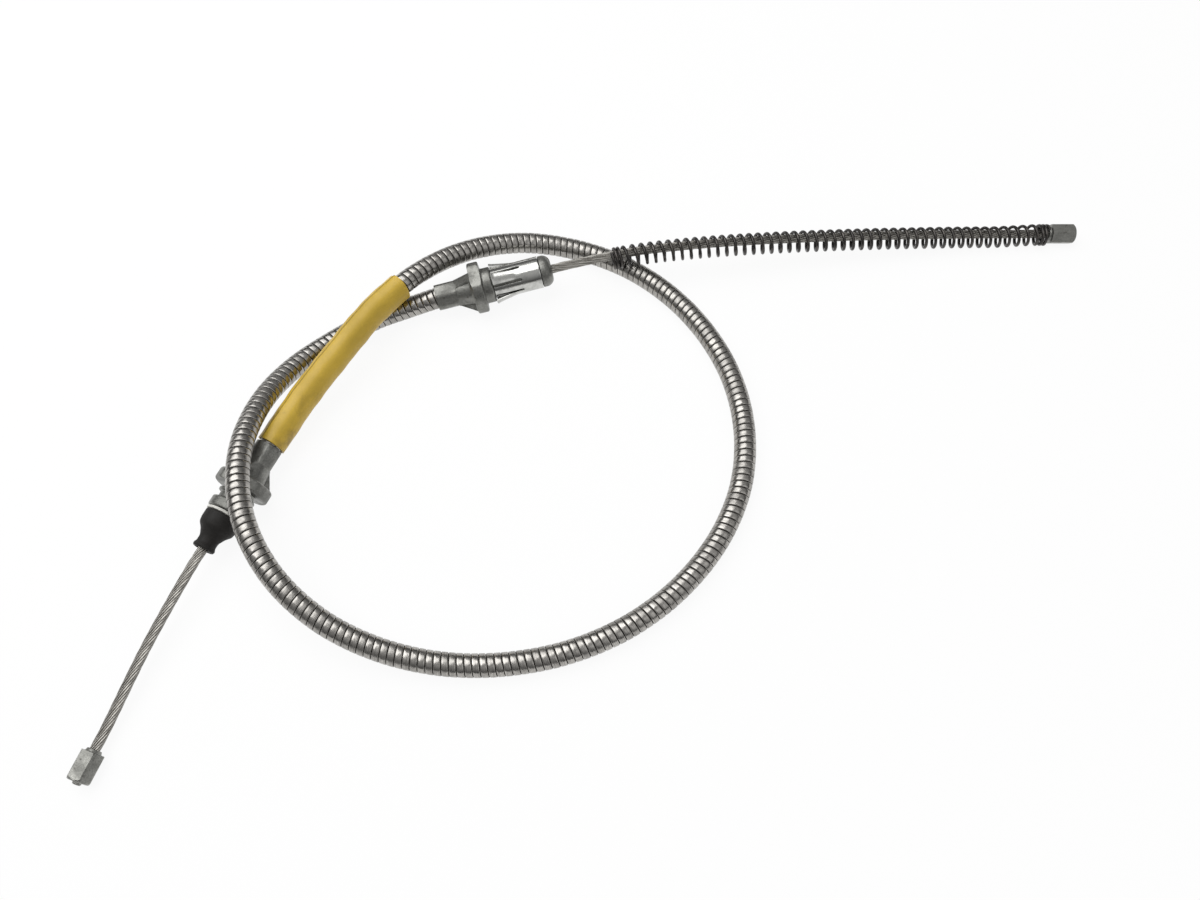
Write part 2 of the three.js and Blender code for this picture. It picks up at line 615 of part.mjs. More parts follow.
// The boot: wide where it grips the bush, narrowing in a soft shoulder to a lip round the wire
function fittingBBoot() {
  const start = BOOT_PLACE;
  const end = start + BOOT_LENGTH;
  const gripEnd = start + BUSH_NOSE_LENGTH;
  const innerWide = BUSH_NOSE_RADIUS + CLEARANCE;
  const innerSmall = BOOT_SMALL_RADIUS - BOOT_WALL;
  return turned([
    [innerWide, start],
    [BOOT_RADIUS, start],
    [BOOT_RADIUS, start + BOOT_STRAIGHT_LENGTH],
    [BOOT_RADIUS - BOOT_EASE, start + BOOT_EASE_LENGTH],
    [BOOT_SHOULDER_RADIUS, gripEnd + BOOT_SHOULDER_PLACE],
    [BOOT_SMALL_RADIUS, gripEnd + BOOT_NECK_PLACE],
    [BOOT_SMALL_RADIUS, end - BOOT_LIP_LENGTH],
    [BOOT_LIP_RADIUS, end - BOOT_LIP_EDGE],
    [BOOT_LIP_RADIUS - BOOT_LIP_ROUNDING, end],
    [innerSmall, end],
    [innerSmall, gripEnd + BOOT_NECK_PLACE - 2 * CLEARANCE],
    [innerWide - BUSH_NOSE_BEVEL, gripEnd + CLEARANCE],
    [innerWide, gripEnd - BUSH_NOSE_BEVEL + CLEARANCE],
    [innerWide, start],
  ], BORE_SIDES);
}

// A stop from its inner face outwards, cast round the end of the wire
function stop() {
  const corner = STOP_FLATS / Math.sqrt(3);
  const body = turned([
    [0, STOP_COLLAR],
    [corner, STOP_COLLAR],
    [corner, STOP_LENGTH - STOP_CHAMFER],
    [corner - STOP_CHAMFER, STOP_LENGTH],
    [0, STOP_LENGTH],
  ], 6, radians(30));
  const collar = turned([
    [0, 0],
    [STOP_COLLAR_RADIUS, 0],
    [STOP_COLLAR_RADIUS + STOP_COLLAR_TAPER, STOP_COLLAR + OVERRUN],
    [0, STOP_COLLAR + OVERRUN],
  ], STOP_COLLAR_SIDES);
  const nub = turned([
    [0, STOP_LENGTH - OVERRUN],
    [STOP_NUB_RADIUS, STOP_LENGTH - OVERRUN],
    [STOP_NUB_RADIUS - STOP_NUB_TAPER, STOP_LENGTH + STOP_NUB_LENGTH],
    [0, STOP_LENGTH + STOP_NUB_LENGTH],
  ], WIRE_SIDES);
  const bore = hole(WIRE_HOLE_RADIUS, -OVERRUN, STOP_BORE_DEPTH, WIRE_SIDES);
  return toGeometry(cut(join([body, collar, nub]), [bore]));
}

// The return spring: one closed wire along a helix whose axis follows the inner wire. It hangs
// on the wire where the wire is high, and lies on the bench near the stop.
function returnSpring() {
  const end = WIRE_AT_STOP_A - CLEARANCE;
  const first = end - SPRING_LENGTH;
  const deadPitch = 2 * SPRING_WIRE_RADIUS + CLEARANCE;
  const deadLength = SPRING_DEAD_COILS * deadPitch;
  const openPitch = (SPRING_LENGTH - 2 * deadLength - 2 * SPRING_WIRE_RADIUS) / SPRING_COILS;
  const turns = SPRING_COILS + 2 * SPRING_DEAD_COILS;
  const placeOf = (turn) => {
    const open = THREE.MathUtils.clamp(turn - SPRING_DEAD_COILS, 0, SPRING_COILS);
    return first + SPRING_WIRE_RADIUS + open * openPitch + (turn - open) * deadPitch;
  };
  const middleRadius = SPRING_RADIUS - SPRING_WIRE_RADIUS;
  const chordRadius = middleRadius * Math.cos(Math.PI / SPRING_COIL_STEPS);
  const slack = chordRadius - SPRING_WIRE_RADIUS - WIRE_RADIUS - CLEARANCE / 2;
  const frameAt = (turn) => {
    const { centre, across, up } = wireRun.frameAt(placeOf(turn));
    const drop = Math.min(SPRING_LEAN, centre.z - SPRING_RADIUS);
    const lean = Math.sqrt(Math.max(slack ** 2 - drop ** 2, 0));
    const angle = 2 * Math.PI * turn;
    const radial = across.clone().multiplyScalar(Math.sin(angle)).addScaledVector(up, Math.cos(angle));
    const along = up.clone().cross(across);
    centre.addScaledVector(across, lean).addScaledVector(up, -drop).addScaledVector(radial, middleRadius);
    return { centre, across: radial, up: along };
  };
  const side = [];
  for (let i = 0; i <= turns * SPRING_COIL_STEPS; i += 1) {
    side.push([SPRING_WIRE_RADIUS, i / SPRING_COIL_STEPS]);
  }
  return bend(turned([[0, 0], ...side, [0, turns]], 4), frameAt);
}

// The assembly
const cable = new THREE.Group();

function add(parent, name, geometry, material) {
  const mesh = new THREE.Mesh(geometry, material.clone());
  mesh.name = name;
  parent.add(mesh);
}

// A group whose +Y is a bench axis and whose +Z stays as upright as it can
function groupOn(axis) {
  const group = new THREE.Group();
  const across = axis.direction.clone().cross(new THREE.Vector3(0, 0, 1)).normalize();
  const up = across.clone().cross(axis.direction);
  group.quaternion.setFromRotationMatrix(new THREE.Matrix4().makeBasis(across, axis.direction, up));
  group.position.copy(axis.at(0));
  cable.add(group);
  return group;
}

add(cable, 'inner_wire', innerWire(), wireSteel);
add(cable, 'conduit_liner', conduitLiner(), linerPlastic);
add(cable, 'conduit_armour', conduitArmour(), conduitSteel);
add(cable, 'id_sleeve', idSleeve(), yellowPlastic);
add(cable, 'return_spring', returnSpring(), springSteel);

const fittingA = groupOn(axisA);
add(fittingA, 'fitting_a_body', fittingABody(), zinc);
add(fittingA, 'fitting_a_retainer', fittingARetainer(), brightSteel);

const fittingB = groupOn(axisB);
add(fittingB, 'fitting_b_body', fittingBBody(), zinc);
add(fittingB, 'fitting_b_bush', fittingBBush(), nylon);
add(fittingB, 'fitting_b_boot', fittingBBoot(), rubber);

add(groupOn(axisStopA), 'stop_a', stop(), zinc);
add(groupOn(axisStopB), 'stop_b', stop(), zinc);

export default cable;
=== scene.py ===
"""Parking brake cable: the finished surfaces, materials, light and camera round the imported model.

The stranded wire, the spiral-wound conduit, the rolled sleeve, the two cast fittings with their
retainer, bush and boot, the return spring and the two stops are surfaces worked out as whole
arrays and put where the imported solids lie. Everything is in metres, with +Z up from the bench.
"""
import math

import bmesh
import bpy
import numpy as np
from bpy.props import FloatProperty, FloatVectorProperty, IntProperty, PointerProperty
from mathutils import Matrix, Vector


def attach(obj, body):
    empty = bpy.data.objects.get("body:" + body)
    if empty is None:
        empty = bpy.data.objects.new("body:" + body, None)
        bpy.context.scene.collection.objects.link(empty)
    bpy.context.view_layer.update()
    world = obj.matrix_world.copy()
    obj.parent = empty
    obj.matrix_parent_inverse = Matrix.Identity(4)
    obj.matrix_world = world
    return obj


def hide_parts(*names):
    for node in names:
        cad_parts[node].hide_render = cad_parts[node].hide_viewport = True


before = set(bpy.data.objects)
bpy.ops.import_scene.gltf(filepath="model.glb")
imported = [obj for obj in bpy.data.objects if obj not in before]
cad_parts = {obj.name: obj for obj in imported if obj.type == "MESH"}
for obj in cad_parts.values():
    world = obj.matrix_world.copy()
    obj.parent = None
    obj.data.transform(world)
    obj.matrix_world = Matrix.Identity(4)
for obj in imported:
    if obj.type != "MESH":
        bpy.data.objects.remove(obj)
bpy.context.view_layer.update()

bl_info = {
    "name": "Parking Brake Cable",
    "version": (1, 0, 0),
    "blender": (4, 5, 0),
    "location": "View3D > Sidebar > Cable",
    "description": "Builds the visible surfaces and finishes of a parking brake cable",
    "category": "Object",
}

MM = 0.001
ROOT = "root"

# Camera, as the picture was taken: it looks 65 degrees down, and meets the bench after 0.51 m
CAMERA_EYE = (-0.0165, -0.2013, 0.4604)
CAMERA_TILT = math.radians(25)
CAMERA_LENS = 30.0
CAMERA_SENSOR = 36.0

# Strength of the grey light near the horizon and overhead
SKY_LOW = 0.10
SKY_HIGH = 0.50

FLOOR_SIZE = 6.0
FLOOR_HEIGHT = -0.1 * MM    # just under the cable
FLOOR_GLOW = 0.92    # part of the floor's white that glows, the rest takes the shadow

# Where an axis meets the neck's face or the stop's inner face, seen from above, in metres, with
# its heading from +X towards +Y and its climb, both in degrees
NECK_A = {"place": (-0.1036, 0.0981), "heading": 13.9, "climb": 4.5}
NECK_B = {"place": (-0.1805, 0.0094), "heading": 245.9, "climb": 0.0}
STOP_A = {"place": (0.2333, 0.1443), "heading": 0.0, "climb": 0.0}
STOP_B = {"place": (-0.2392, -0.1347), "heading": 251.0, "climb": 0.0}

# The routes between the straight stretches, as listed points
CONDUIT_POINTS = [
    (-0.1765, 0.0174, 0.0123),
    (-0.1661, 0.036, 0.0148),
    (-0.1495, 0.0607, 0.0189),
    (-0.1323, 0.0855, 0.0212),
    (-0.1123, 0.1078, 0.02),
    (-0.0879, 0.1251, 0.0156),
    (-0.0597, 0.1339, 0.0106),
    (-0.0298, 0.1321, 0.0069),
    (-0.002, 0.121, 0.0058),
    (0.0216, 0.1025, 0.00568),
    (0.04, 0.0786, 0.00568),
    (0.0521, 0.051, 0.00568),
    (0.0566, 0.0213, 0.00568),
    (0.0531, -0.0085, 0.00568),
    (0.0412, -0.036, 0.00568),
    (0.0221, -0.0601, 0.00568),
    (-0.0017, -0.0786, 0.00568),
    (-0.0289, -0.0909, 0.00568),
    (-0.0585, -0.097, 0.0058),
    (-0.0885, -0.0973, 0.0074),
    (-0.1179, -0.0913, 0.0112),
    (-0.1445, -0.0791, 0.017),
    (-0.1667, -0.0598, 0.024),
    (-0.1816, -0.0342, 0.0292),
    (-0.1875, -0.0047, 0.0296),
    (-0.1857, 0.0245, 0.0224),
    (-0.1763, 0.0514, 0.0124),
    (-0.1571, 0.0737, 0.0064),
    (-0.1363, 0.0877, 0.00568),
    (-0.1183, 0.0943, 0.0074),
]
TAIL_A_POINTS = [
    (-0.0144, 0.1194, 0.0175),
    (0.005, 0.1231, 0.0183),
    (0.0375, 0.1278, 0.0176),
    (0.0705, 0.1318, 0.0159),
    (0.1207, 0.137, 0.0123),
    (0.1719, 0.1411, 0.0086),
    (0.2121, 0.1437, 0.0057),
]
TAIL_B_POINTS = [
    (-0.2231, -0.0881, 0.0086),
]
LEAD = 8 * MM

GAP = 0.3 * MM    # air between neighbouring pieces

# The castings' heads: radii, and lengths from the neck's face
WIRE_HOLE_RADIUS = 2.68 * MM
LINER_HOLE_RADIUS = 3.85 * MM
CONDUIT_DEPTH = 14 * MM
NECK_BORE_RADIUS = 5.85 * MM
NECK_ROUND_RADIUS = 7.2 * MM
NECK_HALF_FLATS = 6.7 * MM
NECK_LENGTH = 11 * MM
CONE_STEP = 0.1 * MM
CONE_START_RADIUS = 7.05 * MM
CONE_END_RADIUS = 8.9 * MM
RIB_START_RADIUS = 6.75 * MM
RIB_END_RADIUS = 12.2 * MM
RIB_HALF_THICKNESS = 1.6 * MM
FLANGE_HALF_HEIGHT = 12 * MM
FLANGE_RADIUS = 13.6 * MM
FLANGE_THICKNESS = 6 * MM
CAST_ROUNDING = 1.1 * MM

# Fitting A and its retainer
A_FLANGE_PLACE = 19.6 * MM
A_COLLAR_RADIUS = 9.4 * MM
A_COLLAR_LENGTH = 5.2 * MM
A_BARREL_RADIUS = 7.1 * MM
A_NOSE_LENGTH = 6.2 * MM
RETAINER_LENGTH = 25.6 * MM
RETAINER_RADIUS = 8.5 * MM
RETAINER_SHEET = 0.9 * MM
RETAINER_EDGE = 0.12 * MM
FINGER_LENGTH = 15.5 * MM
FINGER_BEND = 12.4 * MM    # length of the stretch that bends out
FINGER_HALF_WIDTH = 2.8 * MM
FINGER_FLARE = 2.2 * MM
FINGER_TIP = 1.2 * MM    # length of the curl at the tip
FINGER_CURL = 0.25 * MM
FINGER_TURN = 20    # degrees from straight up to the first finger
SLOT_HALF_WIDTH = 0.75 * MM

# Fitting B with its bush and boot
B_FLANGE_PLACE = 20 * MM
B_BARREL_RADIUS = 7.6 * MM
B_BARREL_LENGTH = 7.4 * MM
B_STEP_RADIUS = 9.1 * MM
B_STEP_PLACE = 2.3 * MM    # from the flange to the ring on the barrel
B_STEP_LENGTH = 1.6 * MM
B_BEAD_RADIUS = 9.6 * MM
B_BEAD_LENGTH = 5.2 * MM
BUSH_SPIGOT_RADIUS = 4.6 * MM
BUSH_SPIGOT_LENGTH = 6 * MM
BUSH_FLANGE_RADIUS = 9.1 * MM
BUSH_FLANGE_LENGTH = 1.3 * MM
BUSH_NOSE_RADIUS = 6.9 * MM
BUSH_NOSE_LENGTH = 8 * MM
BUSH_NOSE_BEVEL = 2 * MM
BOOT_LENGTH = 18 * MM

# The stops
STOP_HEIGHT = 5 * MM    # from the axis to a flat
STOP_BORE_DEPTH = 11 * MM
STOP_ROUND_RADIUS = 3.9 * MM    # what is thinner stays round: the collar and the wire's end

# The spring and the sleeve
SPRING_LENGTH = 246 * MM
SPRING_DEAD_COILS = 2.5    # closed coils at each end
SPRING_DROP = 0.45 * MM    # how far the spring hangs below the wire at most
SPRING_TOUCH = 0.05 * MM    # air where the spring leans on the wire
PITCH_GROWTH = 0.055    # share by which the last open coil's pitch is wider than the mean
SLEEVE_START = 1.5 * MM    # from the neck's face
SLEEVE_LENGTH = 106 * MM
SLEEVE_LAP = 40    # degrees by which the sheet covers its own first edge
SLEEVE_LAP_GAP = 0.15 * MM
SEAM_TURN = -20    # degrees from straight up to the free edge of the rolled sleeve

# The wire and the strip
VALLEY_DEPTH = 0.09    # of the valleys between the strands, as a share of the radius
RIDGES = 14    # single wires seen round the rope
STRIP_WALL = 1.4 * MM    # from the strip's outside to the bore of the conduit
TURN_IN_UV = 35 * MM    # length of one turn of the strip in the UV map

# Outlines as (radius, distance from the start), in millimetres
NOSE_OUTLINE = [(8.3, 0), (8.3, 2.9), (7.5, 4.6), (6.0, 5.9), (4.4, 6.2)]
BOOT_OUTLINE = [(7.2, 0), (8.9, 0), (8.9, 4.5), (8.4, 7.0), (6.4, 9.4), (4.8, 12.6), (4.8, 15.4),
                (5.5, 16.8), (5.1, 18.0), (3.1, 18.0), (3.1, 12.0), (5.2, 8.3), (7.2, 6.3)]
STOP_OUTLINE = [(3.2, 0), (3.7, 1.4), (5.77, 1.4), (5.77, 13.3), (4.6, 14.5), (2.0, 14.5),
                (1.95, 15.3), (1.5, 15.7), (0, 15.7)]

# Places that follow from the sizes
A_BARREL_PLACE = A_FLANGE_PLACE + FLANGE_THICKNESS + A_COLLAR_LENGTH
A_NOSE_PLACE = A_BARREL_PLACE + RETAINER_LENGTH + 2 * GAP
A_LENGTH = A_NOSE_PLACE + A_NOSE_LENGTH
B_BARREL_PLACE = B_FLANGE_PLACE + FLANGE_THICKNESS
B_BEAD_PLACE = B_BARREL_PLACE + B_BARREL_LENGTH
B_BODY_LENGTH = B_BEAD_PLACE + B_BEAD_LENGTH
BUSH_PLACE = B_BODY_LENGTH + GAP
BOOT_PLACE = BUSH_PLACE + BUSH_FLANGE_LENGTH + GAP
B_LENGTH = BOOT_PLACE + BOOT_LENGTH


class CableSizes(bpy.types.PropertyGroup):
    """Sizes of the cable's repeated forms"""

    armour_radius: FloatProperty(
        name="Conduit radius", description="Outside of the wound strip",
        default=5.55 * MM, unit="LENGTH")
    armour_pitch: FloatProperty(
        name="Strip pitch", description="Length of one turn of the wound strip",
        default=3.5 * MM, unit="LENGTH")
    groove_depth: FloatProperty(
        name="Groove depth", description="How deep the step between two turns is",
        default=0.55 * MM, unit="LENGTH")
    wire_radius: FloatProperty(
        name="Wire radius", description="Outside of the stranded wire",
        default=2.38 * MM, unit="LENGTH")
    strands: IntProperty(
        name="Strands", description="Outer strands of the wire", default=6, min=3)
    lay: FloatProperty(
        name="Lay length", description="Length in which a strand goes once round",
        default=46 * MM, unit="LENGTH")
    sleeve_thickness: FloatProperty(
        name="Sleeve sheet", description="Thickness of the rolled sleeve",
        default=0.75 * MM, unit="LENGTH")
    sleeve_slack: FloatProperty(
        name="Sleeve slack", description="How loose the sleeve is on the conduit, as a radius",
        default=0.65 * MM, unit="LENGTH")
    spring_radius: FloatProperty(
        name="Spring radius", description="Outside of the return spring",
        default=6 * MM, unit="LENGTH")
    spring_wire: FloatProperty(
        name="Spring wire radius", description="Radius of the spring's wire",
        default=0.86 * MM, unit="LENGTH")
    spring_coils: IntProperty(
        name="Open coils", description="Coils between the closed ends", default=46, min=3)


class CableColours(bpy.types.PropertyGroup):
    """Colours of the cable's finishes, as linear values"""

    strip: FloatVectorProperty(
        name="Galvanised strip", description="Colour of the conduit",
        default=(0.42, 0.405, 0.38), subtype="COLOR", min=0, max=1)
    wire: FloatVectorProperty(
        name="Wire strands", description="Colour of the stranded wire",
        default=(0.47, 0.455, 0.42), subtype="COLOR", min=0, max=1)
    zinc: FloatVectorProperty(
        name="Cast zinc", description="Colour of the fittings and stops",
        default=(0.215, 0.215, 0.20), subtype="COLOR", min=0, max=1)
    plate: FloatVectorProperty(
        name="Bright plate", description="Colour of the retainer",
        default=(0.50, 0.50, 0.48), subtype="COLOR", min=0, max=1)
    spring: FloatVectorProperty(
        name="Spring steel", description="Colour of the oiled spring",
        default=(0.05, 0.047, 0.045), subtype="COLOR", min=0, max=1)
    sleeve: FloatVectorProperty(
        name="Yellow sleeve", description="Colour of the identification sleeve",
        default=(0.60, 0.40, 0.04), subtype="COLOR", min=0, max=1)
    rubber: FloatVectorProperty(
        name="Rubber", description="Colour of the boot",
        default=(0.013, 0.012, 0.011), subtype="COLOR", min=0, max=1)
    nylon: FloatVectorProperty(
        name="Nylon", description="Colour of the bush",
        default=(0.72, 0.71, 0.66), subtype="COLOR", min=0, max=1)


# Routes and frames


def smooth_line(points, samples=40):
    """Points on the centripetal cubic curve through the given ones.

    With d the square root of the distance between neighbours, the curve leaves p1 along
    (p1 - p0) / d0 - (p2 - p0) / (d0 + d1) + (p2 - p1) / d1 and meets p2 likewise, and each
    stretch is the cubic with those ends and tangents.
    """
    p = np.asarray(points, float)
    p = np.vstack([2 * p[0] - p[1], p, 2 * p[-1] - p[-2]])
    gap = np.linalg.norm(np.diff(p, axis=0), axis=1, keepdims=True) ** 0.5
    d0, d1, d2 = gap[:-2], gap[1:-1], gap[2:]
    p0, p1, p2, p3 = p[:-3], p[1:-2], p[2:-1], p[3:]
    leave = ((p1 - p0) / d0 - (p2 - p0) / (d0 + d1) + (p2 - p1) / d1) * d1
    meet = ((p2 - p1) / d1 - (p3 - p1) / (d1 + d2) + (p3 - p2) / d2) * d1
    square = 3 * (p2 - p1) - 2 * leave - meet
    cube = 2 * (p1 - p2) + leave + meet
    t = np.arange(samples)[None, :, None] / samples
    curve = ((cube[:, None] * t + square[:, None]) * t + leave[:, None]) * t + p1[:, None]
    return np.vstack([curve.reshape(-1, 3), p2[-1:]])


def frame_of(along):
    """(across, up) for directions: across is level and to the right, and up completes them."""
    across = np.cross(along, (0.0, 0.0, 1.0))
    across /= np.linalg.norm(across, axis=-1, keepdims=True)
    return across, np.cross(across, along)


class Axis:
    """A straight axis: a place on it is start + along * direction."""

    def __init__(self, seat, height):
        turn, rise = math.radians(seat["heading"]), math.radians(seat["climb"])
        self.direction = np.array(
            [math.cos(turn) * math.cos(rise), math.sin(turn) * math.cos(rise), math.sin(rise)])
        self.start = np.array([*seat["place"], height])
        self.across, self.up = frame_of(self.direction)

    def at(self, along):
        return self.start + self.direction * along

    def put(self, side, along, lift):
        """Places of points given by their distances to the side, along the axis and upwards."""
        parts = [np.asarray(v)[..., None] for v in (side, along, lift)]
        return self.start + parts[0] * self.across + parts[1] * self.direction + parts[2] * self.up


class Run:
    """A chain of lines measured by length, with a frame at each place."""

    def __init__(self, stretches):
        lengths = [np.linalg.norm(np.diff(s, axis=0), axis=1).sum() for s in stretches]
        self.ends = np.cumsum(lengths)
        line = np.vstack(stretches)
        step = np.linalg.norm(np.diff(line, axis=0), axis=1)
        self.line = line[np.r_[True, step > 1e-9]]
        gaps = np.linalg.norm(np.diff(self.line, axis=0), axis=1)
        self.place = np.r_[0.0, np.cumsum(gaps)]
        self.tangent = np.gradient(self.line, self.place, axis=0)

    def _look_up(self, table, place):
        return np.stack([np.interp(place, self.place, table[:, k]) for k in range(3)], axis=-1)

    def frames(self, place):
        """(centre, along, across, up) at each place."""
        along = self._look_up(self.tangent, place)
        along /= np.linalg.norm(along, axis=-1, keepdims=True)
        across, up = frame_of(along)
        return self._look_up(self.line, place), along, across, up

    def put(self, side, place, lift):
        """Places of points given by their distances to the side, along the run and upwards."""
        centre, _, across, up = self.frames(place)
        return centre + side[..., None] * across + lift[..., None] * up


def rest_height(seat, flange_place):
    """Height of a fitting's axis at the neck's face, with the flange's low edge on the bench."""
    rise = math.radians(seat["climb"])
    return FLANGE_HALF_HEIGHT * math.cos(rise) - flange_place * math.sin(rise)


AXIS_A = Axis(NECK_A, rest_height(NECK_A, A_FLANGE_PLACE))
AXIS_B = Axis(NECK_B, rest_height(NECK_B, B_FLANGE_PLACE))
AXIS_STOP_A = Axis(STOP_A, STOP_HEIGHT)
AXIS_STOP_B = Axis(STOP_B, STOP_HEIGHT)

WIRE_RUN = Run([
    np.array([AXIS_STOP_B.at(STOP_BORE_DEPTH - GAP), AXIS_STOP_B.at(0)]),
    smooth_line([AXIS_STOP_B.at(0), AXIS_STOP_B.at(-LEAD), *TAIL_B_POINTS,
                 AXIS_B.at(B_LENGTH + LEAD), AXIS_B.at(B_LENGTH)]),
    np.array([AXIS_B.at(B_LENGTH), AXIS_B.at(0)]),
    smooth_line([AXIS_B.at(0), *CONDUIT_POINTS, AXIS_A.at(0)]),
    np.array([AXIS_A.at(0), AXIS_A.at(A_LENGTH)]),
    smooth_line([AXIS_A.at(A_LENGTH), AXIS_A.at(A_LENGTH + LEAD), *TAIL_A_POINTS,
                 AXIS_STOP_A.at(-LEAD), AXIS_STOP_A.at(0)]),
    np.array([AXIS_STOP_A.at(0), AXIS_STOP_A.at(STOP_BORE_DEPTH - GAP)]),
])
AT_STOP_B, AT_BOOT, AT_NECK_B, AT_NECK_A, AT_MOUTH_A, AT_STOP_A, WIRE_LENGTH = WIRE_RUN.ends


# Meshes


def grid_faces(rows, columns):
    """Quads between neighbouring points of a grid whose points are numbered row by row."""
    corner = (np.arange(rows - 1)[:, None] * columns + np.arange(columns - 1)).ravel()
    return np.stack([corner, corner + 1, corner + columns + 1, corner + columns], axis=1)


def make_piece(name, points, material, faces=None, uv=None, masks=None, sharp=40):
    """A piece from a grid of points: welded where the grid meets itself, faces outwards.

    uv is a grid of (u, v), masks maps a name to a grid of values, and edges sharper than
    the angle sharp, in degrees, stay sharp.
    """
    rows, columns = points.shape[:2]
    faces = grid_faces(rows, columns) if faces is None else faces
    mesh = bpy.data.meshes.new(name)
    mesh.vertices.add(rows * columns)
    mesh.vertices.foreach_set("co", points.astype(np.float32).ravel())
    mesh.loops.add(faces.size)
    mesh.loops.foreach_set("vertex_index", faces.astype(np.int32).ravel())
    mesh.polygons.add(len(faces))
    mesh.polygons.foreach_set("loop_start", np.arange(0, faces.size, 4, dtype=np.int32))
    mesh.update(calc_edges=True)
    if uv is not None:
        layer = mesh.uv_layers.new(name="UVMap")
        layer.uv.foreach_set("vector", uv.reshape(-1, 2)[faces.ravel()].astype(np.float32).ravel())
    for mask, values in (masks or {}).items():
        attribute = mesh.attributes.new(mask, "FLOAT", "POINT")
        attribute.data.foreach_set("value", values.astype(np.float32).ravel())
    weld(mesh)
    mesh.shade_smooth()
    mesh.set_sharp_from_angle(angle=math.radians(sharp))
    mesh.materials.append(material)
    piece = bpy.data.objects.new(name, mesh)
    bpy.context.scene.collection.objects.link(piece)
    return piece


def weld(mesh, distance=2e-7):
    """Merges points that coincide and turns the faces outwards."""
    work = bmesh.new()
    work.from_mesh(mesh)
    bmesh.ops.remove_doubles(work, verts=work.verts, dist=distance)
    if work.calc_volume(signed=True) < 0:
        bmesh.ops.reverse_faces(work, faces=work.faces)
    work.to_mesh(mesh)
    work.free()


def stand_for(piece, node):
    """The piece rides on the cable's body and hides the plain solid."""
    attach(piece, ROOT)
    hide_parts(node)


def turn_angles(count):
    """Angles once round, from straight up, with the first again at the end."""
    return np.linspace(0, 2 * np.pi, count + 1)


def rounded(corners, radius=0.3 * MM, steps=3):
    """A profile with its inner corners cut back by radius and joined by a quadratic curve.

    At a corner c with cuts a and b on its two sides the curve is
    (1 - t)^2 a + 2 t (1 - t) c + t^2 b.
    """
    c = np.asarray(corners, float)
    before, here, after = c[:-2], c[1:-1], c[2:]
    to_before = np.linalg.norm(before - here, axis=1, keepdims=True)
    to_after = np.linalg.norm(after - here, axis=1, keepdims=True)
    cut = np.minimum(radius, 0.45 * np.minimum(to_before, to_after))
    a = here + (before - here) * cut / to_before
    b = here + (after - here) * cut / to_after
    t = np.linspace(0, 1, steps + 1)[None, :, None]
    curve = (1 - t) ** 2 * a[:, None] + 2 * t * (1 - t) * here[:, None] + t ** 2 * b[:, None]
    return np.vstack([c[:1], curve.reshape(-1, 2), c[-1:]])


def with_step(profile, step):
    """The profile again with points no further apart than step, its own points kept."""
    gaps = np.linalg.norm(np.diff(profile, axis=0), axis=1)
    place = np.r_[0.0, np.cumsum(gaps)]
    extra = np.arange(0, place[-1], step)
    at = np.unique(np.r_[place, extra])
    at = at[np.r_[True, np.diff(at) > step / 20]]
    return np.stack([np.interp(at, place, profile[:, k]) for k in range(2)], axis=1)


def flat_limit(angle, flat, sides):
    """Distance from the axis to a prism of that many flats, with one flat straight up."""
    share = np.pi / sides
    return flat / np.maximum(np.cos((angle + share) % (2 * share) - share), 1e-3)


def soft_min(a, b, power=40):
    """The smaller of two distances, with the edge between them eased."""
    return (a ** -power + b ** -power) ** (-1.0 / power)


def soft_max(a, b, power=40):
    """The larger of two distances, with the inner corner between them eased."""
    return (a ** power + b ** power) ** (1.0 / power)


# Materials


def add_node(tree, kind, inputs=None, **settings):
    """A node with its settings, whose inputs are values or sockets to link from."""
    node = tree.nodes.new(kind)
    for key, value in settings.items():
        setattr(node, key, value)
    for key, value in (inputs or {}).items():
        socket = node.inputs[key]
        if isinstance(value, bpy.types.NodeSocket):
            tree.links.new(value, socket)
        else:
            socket.default_value = value
    return node


def ramp(tree, fac, low, high):
    """A mask that goes from 0 at low to 1 at high."""
    node = add_node(tree, "ShaderNodeMapRange", {"Value": fac, "From Min": low, "From Max": high},
                    interpolation_type="SMOOTHSTEP")
    return node.outputs["Result"]


def blend(tree, fac, a, b, mode="MIX"):
    """Colour a under colour b by fac."""
    node = add_node(tree, "ShaderNodeMix", {"Factor": fac}, data_type="RGBA", blend_type=mode)
    for socket, value in ((node.inputs[6], a), (node.inputs[7], b)):
        if isinstance(value, bpy.types.NodeSocket):
            tree.links.new(value, socket)
        else:
            socket.default_value = value
    return node.outputs[2]


def maths(tree, operation, a, b=0.0):
    """The result of one sum on two values."""
    node = add_node(tree, "ShaderNodeMath", {0: a, 1: b}, operation=operation)
    return node.outputs[0]


def new_group(name, inputs, outputs):
    """An empty node group with those named sockets, and its input and output nodes."""
    group = bpy.data.node_groups.new(name, "ShaderNodeTree")
    for socket, kind, value in inputs:
        item = group.interface.new_socket(socket, in_out="INPUT", socket_type=kind)
        item.default_value = value
    for socket, kind in outputs:
        group.interface.new_socket(socket, in_out="OUTPUT", socket_type=kind)
    return group, group.nodes.new("NodeGroupInput").outputs, group.nodes.new("NodeGroupOutput").inputs


def noise(tree, vector, scale, detail=3.0, rough=0.55):
    """A noise value over a vector."""
    node = add_node(tree, "ShaderNodeTexNoise",
                    {"Vector": vector, "Scale": scale, "Detail": detail, "Roughness": rough})
    return node.outputs["Fac"]


